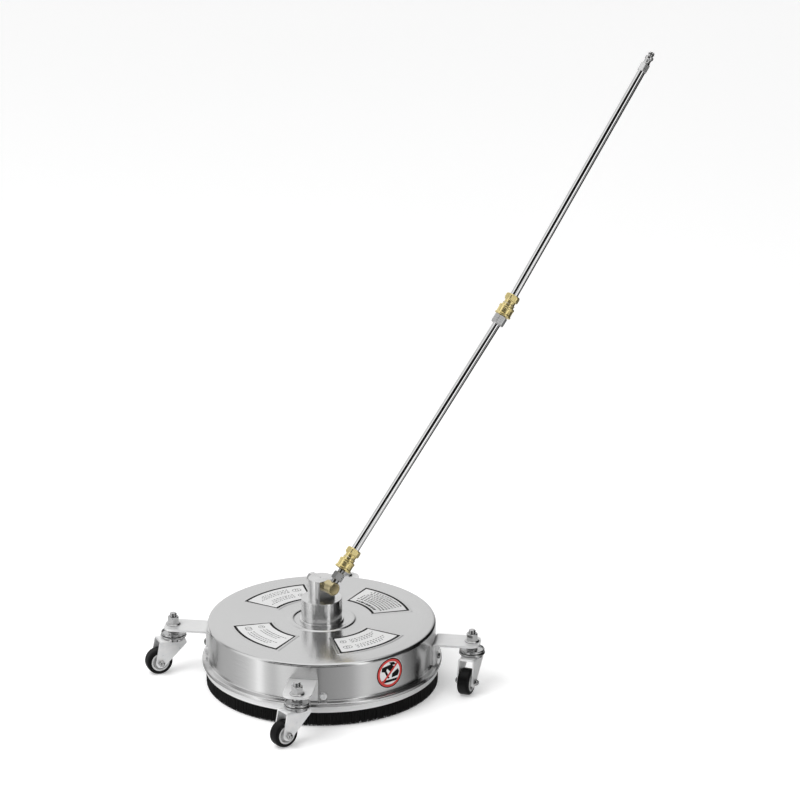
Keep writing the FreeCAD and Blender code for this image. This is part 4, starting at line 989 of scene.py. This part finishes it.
def hub():
    ring = [(26.05, 109), (37, 109, 0.2), (37, 112, 0.9), (26.05, 112, 0.2)]
    turned("hub_ring", ring, DECK, "machined_steel", "hub_base_ring", segments=144)
    corner = acos(HUB_FLAT / HUB_R)
    body = [(0, 142), (17.5, 142), (17.5, 96, 0.4), (26, 96, 0.6), (26, 112), (33.4, 112, 0.3),
            (34, 112.6, 0.3), (34, 148, 0.9), (30.5, 148), (26, 148), (HUB_R, 148, 0.25), (HUB_R, 148.6),
            (HUB_R, 183, 0.9), (19, 183), (12, 183), (3, 183, 0.3), (2, 182.4, 0.2), (0, 182.4)]
    turned("hub_casting", body, DECK, "machined_steel", "hub_body",
           flats=[(HUB_FLAT, HUB_FLAT_TURN, 148.05, 200)], segments=144,
           extra_angles=[HUB_FLAT_TURN - corner, HUB_FLAT_TURN + corner])
    barrel = [(0, 24.3), (6.5, 24.3), (6.5, 16.2, 0.3), (10.4, 16.2, 0.3), (11, 16.8, 0.3), (11, 36.0, 0.6),
              (10.2, 36.8, 0.4), (9.3, 36.8, 0.2), (9.0, 36.5, 0.2), (0, 36.5)]
    turned("barrel_turning", barrel, CROSS, "barrel_brass", "swivel_barrel", "lance")
    pin = [(0, -27.4), (6.45, -27.4, 0.4), (6.45, 24.2, 0.4), (0, 24.2)]
    turned("pin_turning", pin, CROSS, "machined_steel", "cross_pin", segments=64)
    cap = [(6.5, -22.4, 0.2), (9.9, -22.4, 0.3), (9.9, -29.5, 0.4), (8.1, -31, 0.5), (3.0, -31, 0.3),
           (2.6, -30.4, 0.2), (0, -30.4), (0, -27.4), (6.5, -27.4)]
    turned("cap_turning", cap, CROSS, "machined_steel", "cross_pin_cap", flats=hex_flats(17),
           segments=60)


# ================ lance

BORE, PIPE_R = 3, 7.0
LOWER_TUBE = (62.2, 529.5)
LOWER_COUPLER_AT, UPPER_COUPLER_AT = 35.7, -11.2


def coupler(name, sleeve_body, place, at):
    """Quick coupler: ball body with its grip hexagon, a plain sliding sleeve and its stop ring."""
    core = [(6.4, 0.6), (10.5, 0.6, 0.3), (10.5, 21.8, 0.4), (9.6, 22.4, 0.4), (9.6, 28, 0.2),
            (11.2, 28, 0.3), (12.64, 30.5, 0.3), (12.64, 36.7, 0.3), (11.2, 39.2, 0.4), (7.0, 39.2, 0.2),
            (7.0, 26), (6.4, 26)]
    turned(f"{name}_core", raised(core, at), place, "coupler_brass", f"{name}_body", "lance",
           flats=hex_flats(22.5, at + 27.9, at + 40, 30), segments=72)
    sleeve = [(10.6, 0, 0.2), (13.7, 0, 0.3), (14.3, 0.6, 0.3), (14.3, 3.0, 0.3), (13.1, 4.0, 0.4),
              (13.1, 13.0, 0.3), (13.7, 13.8, 0.3), (13.7, 16.4, 0.3), (13.1, 17.3, 0.3), (10.6, 17.3, 0.2)]
    turned(f"{name}_slider", raised(sleeve, at), place, "coupler_brass", f"{name}_sleeve", sleeve_body)
    stop = ring_cord(10.9, 0.45, at + 21.9)
    turned(f"{name}_stop_ring", stop, place, "lance_steel", body="lance", segments=72)


def nose(start, tip):
    """The end of a plug: a stem with the groove that the coupler's balls hold."""
    grooved = [(5.6, -9, 0.4), (4.6, -8, 0.4), (4.6, -6, 0.4), (5.6, -5, 0.4), (5.6, -1.5, 0.4),
               (4.6, 0, 0.3), (BORE, 0, 0.2)]
    return [(5.6, start + 0.8, 0.2)] + raised(grooved, tip)


def tube(name, place, ends, node):
    low, high = ends
    outline = [(5, low, 0.2), (PIPE_R - 0.02, low, 0.4), (PIPE_R - 0.02, high, 0.4), (5, high, 0.2)]
    turned(name, outline, place, "chrome_tube", node, "lance", segments=128)


def plug(name, outline, place, flats, look, node):
    turned(name, outline, place, look, node, "lance", flats=flats, segments=72)


def lance():
    inlet = [(BORE, 6.9), (6.48, 6.9), (6.48, 15.2), (8.4, 15.2, 0.3), (9.8, 16.4, 0.3), (9.8, 27.4, 0.3),
             (8.4, 28.6, 0.3)]
    plug("inlet_nipple", inlet + nose(28.6, 52.0), LOWER, hex_flats(17, 15.1, 28.7, 30), "inlet_steel",
         "inlet_plug")
    coupler("lower_coupler", "lower_sleeve", LOWER, LOWER_COUPLER_AT)
    tube("lower_pipe", LOWER, LOWER_TUBE, "lower_tube")
    joint = [(BORE, 529.6), (PIPE_R, 529.6), (PIPE_R, 520, 0.2), (10.0, 520, 0.3), (11.5, 521.4, 0.3),
             (11.5, 534.6, 0.3), (10.0, 536, 0.3), (7.5, 536)]
    plug("joint_nipple", joint + nose(536, 552), LOWER, hex_flats(20, 519.9, 536.1, 30), "lance_steel",
         "joint_plug")
    coupler("upper_coupler", "upper_sleeve", UPPER, UPPER_COUPLER_AT)
    tube("upper_pipe", UPPER, UPPER_TUBE, "upper_tube")
    tool = [(BORE, 470.1), (PIPE_R, 470.1), (PIPE_R, 463, 0.2), (8.0, 463, 0.3), (9.2, 464.2, 0.3),
            (9.2, 475.8, 0.3), (8.0, 477, 0.4), (6.2, 479, 0.6), (5.6, 485, 0.5), (7.3, 487, 0.5),
            (7.3, 491.5, 0.5), (4.7, 493, 0.3), (4.7, 499.4, 0.3), (4.1, 500, 0.2), (BORE, 500, 0.2)]
    plug("tool_nipple", tool, UPPER, hex_flats(16, 462.9, 477.1, 47), "lance_steel", "tool_plug")
    turned("nose_ring", ring_cord(5.2, 0.55, 496.2), UPPER, "seal_rubber", body="lance", segments=64)


deck_shell()
brush_band()
bristles()
for turn in PAD_TURNS:
    label(turn)
prohibition_sign()
for side, turn in SIDES.items():
    arm(side, turn)
    caster(side)
bolts()
stem_nuts()
hub()
lance()

# CAD nodes that stay as they are take their record slot's look
for entry in frame["record"]["subparts"]:
    shown = frame["nodes"][entry["node"]]
    shown.data.materials.clear()
    shown.data.materials.append(LOOKS[entry["material_slot"]])

# ================ studio

CAMERA_TURN = radians(8.16)
CAMERA_TILT = radians(69.84)
CAMERA_FROM_AXIS = (1.0369, -6.3151, 2.8457)
CAMERA_LENS, CAMERA_SENSOR, CAMERA_REACH = 187.9, 36, 200
FLOOR_SIZE = 40.0
SOFTBOX_FROM_AXIS, SOFTBOX_SIZE, SOFTBOX_WATTS = (-1.4, -1.6, 3.0), (2.4, 1.8), 60
FLAG_AT = 0.75
FLAG_CORNERS = [(-0.14, -0.13), (1.5, -0.13), (1.5, 1.37), (0.62, 1.37)]


def placed(name, data):
    thing = bpy.data.objects.new(name, data)
    bpy.context.collection.objects.link(thing)
    return thing


def sheet(name, corners, look):
    mesh = bpy.data.meshes.new(name)
    mesh.from_pydata(corners, [], [(0, 1, 2, 3)])
    mesh.materials.append(look.material)
    return placed(name, mesh)


floor_look = Look("studio_floor", Roughness=0.9, Emission_Strength=0.35, Emission_Color=(1, 1, 1, 1))
floor_tone = floor_look.noise(floor_look.point(), 0.6, 2)
floor_look.paint(floor_look.ramp(floor_tone, (0.0, grey(0.93)), (1.0, grey(0.96))))
floor_corners = [(x * FLOOR_SIZE, y * FLOOR_SIZE, 0) for x, y in ((-1, -1), (1, -1), (1, 1), (-1, 1))]
floor = sheet("floor", floor_corners, floor_look)
floor.visible_glossy = False

# a black card to the right, seen only by what mirrors it, gives the tubes their dark edge
flag_look = Look("flag_cloth", Roughness=1.0, Specular_IOR_Level=0.0)
flag_tone = flag_look.noise(flag_look.point(), 40, 2)
flag_look.paint(flag_look.tones(flag_tone, grey(0.002), grey(0.006)))
flag = sheet("flag", [(FLAG_AT, y, z) for y, z in FLAG_CORNERS], flag_look)
flag.visible_camera = False
flag.visible_diffuse = False
flag.visible_shadow = False

# light and dark cards round the part, which its metals mirror: (bearing from the camera's side, level);
# the high and middle rings differ only in the stretch that faces the camera
LOW_CARDS = [(-180, 0.75), (-160, 0.62), (-146, 0.45), (-137, 0.20), (-128, 0.42), (-118, 0.52), (-96, 0.56),
             (-80, 0.70), (-70, 0.95), (-64, 1.40), (-58, 0.85), (-48, 0.70), (-40, 0.95), (-30, 0.92),
             (-20, 0.70), (-17, 0.08), (-5, 0.04), (-2, 0.36), (10, 0.40), (32, 0.52), (50, 0.76), (64, 0.70),
             (80, 0.50), (96, 0.34), (108, 0.12), (125, 0.05), (140, 0.28), (160, 0.62), (172, 0.95)]
LEFT_CARDS = [(-180, 0.84), (-125, 0.84), (-106, 0.30), (-92, 0.90), (-62, 1.15)]
RIGHT_CARDS = [(37, 1.40), (46, 1.40), (51, 0.06), (98, 0.02), (150, 0.02), (165, 0.60), (180, 0.84)]
HIGH_CARDS = LEFT_CARDS + [(-52, 0.02), (27, 0.0), (34, 0.6)] + RIGHT_CARDS
MIDDLE_CARDS = LEFT_CARDS + [(-50, 0.80), (22, 0.80), (34, 0.9)] + RIGHT_CARDS

world = bpy.data.worlds.new("studio")
bpy.context.scene.world = world
world.use_nodes = True
world.node_tree.nodes.clear()
sky = Nodes(world.node_tree)
direction = sky.add("ShaderNodeTexCoord").outputs["Generated"]
to_right = sky.dot(direction, (cos(CAMERA_TURN), sin(CAMERA_TURN), 0))
to_camera = sky.dot(direction, (sin(CAMERA_TURN), -cos(CAMERA_TURN), 0))
share_round = sky.spread(sky.math("ARCTAN2", to_right, to_camera), -pi, pi)
low_ring, middle_ring, high_ring = [
    sky.ramp(share_round, *[((angle + 180) / 360, grey(level)) for angle, level in cards])
    for cards in (LOW_CARDS, MIDDLE_CARDS, HIGH_CARDS)]

rise = sky.dot(direction, UP)
upper_rings = sky.mix(sky.spread(rise, 0.12, 0.16), high_ring, middle_ring)
upper_rings = sky.mix(sky.spread(rise, 0.30, 0.35), upper_rings, high_ring)
rings = sky.mix(sky.spread(rise, -0.25, -0.08), low_ring, upper_rings)
overhead = sky.spread(rise, 0.76, 0.93, interpolation_type="SMOOTHSTEP")
lit = sky.mix(overhead, rings, (1.0, 1.0, 1.0, 1))
background = sky.add("ShaderNodeBackground", {0: lit, 1: 1.0}).outputs[0]
sky.add("ShaderNodeOutputWorld", {0: background})

key = bpy.data.lights.new("softbox", "AREA")
key.shape = "RECTANGLE"
key.size, key.size_y = SOFTBOX_SIZE
key.energy = SOFTBOX_WATTS
softbox = placed("softbox", key)
softbox.location = AXIS + Vector(SOFTBOX_FROM_AXIS)
softbox.rotation_euler = (AXIS - softbox.location).to_track_quat("-Z", "Y").to_euler()
softbox.visible_glossy = False

camera_data = bpy.data.cameras.new("camera")
camera_data.lens = CAMERA_LENS
camera_data.sensor_width = CAMERA_SENSOR
camera_data.clip_end = CAMERA_REACH
camera = placed("camera", camera_data)
camera.location = AXIS + Vector(CAMERA_FROM_AXIS)
camera.rotation_euler = (CAMERA_TILT, 0, CAMERA_TURN)
bpy.context.scene.camera = camera
bpy.context.scene.view_settings.view_transform = "Standard"
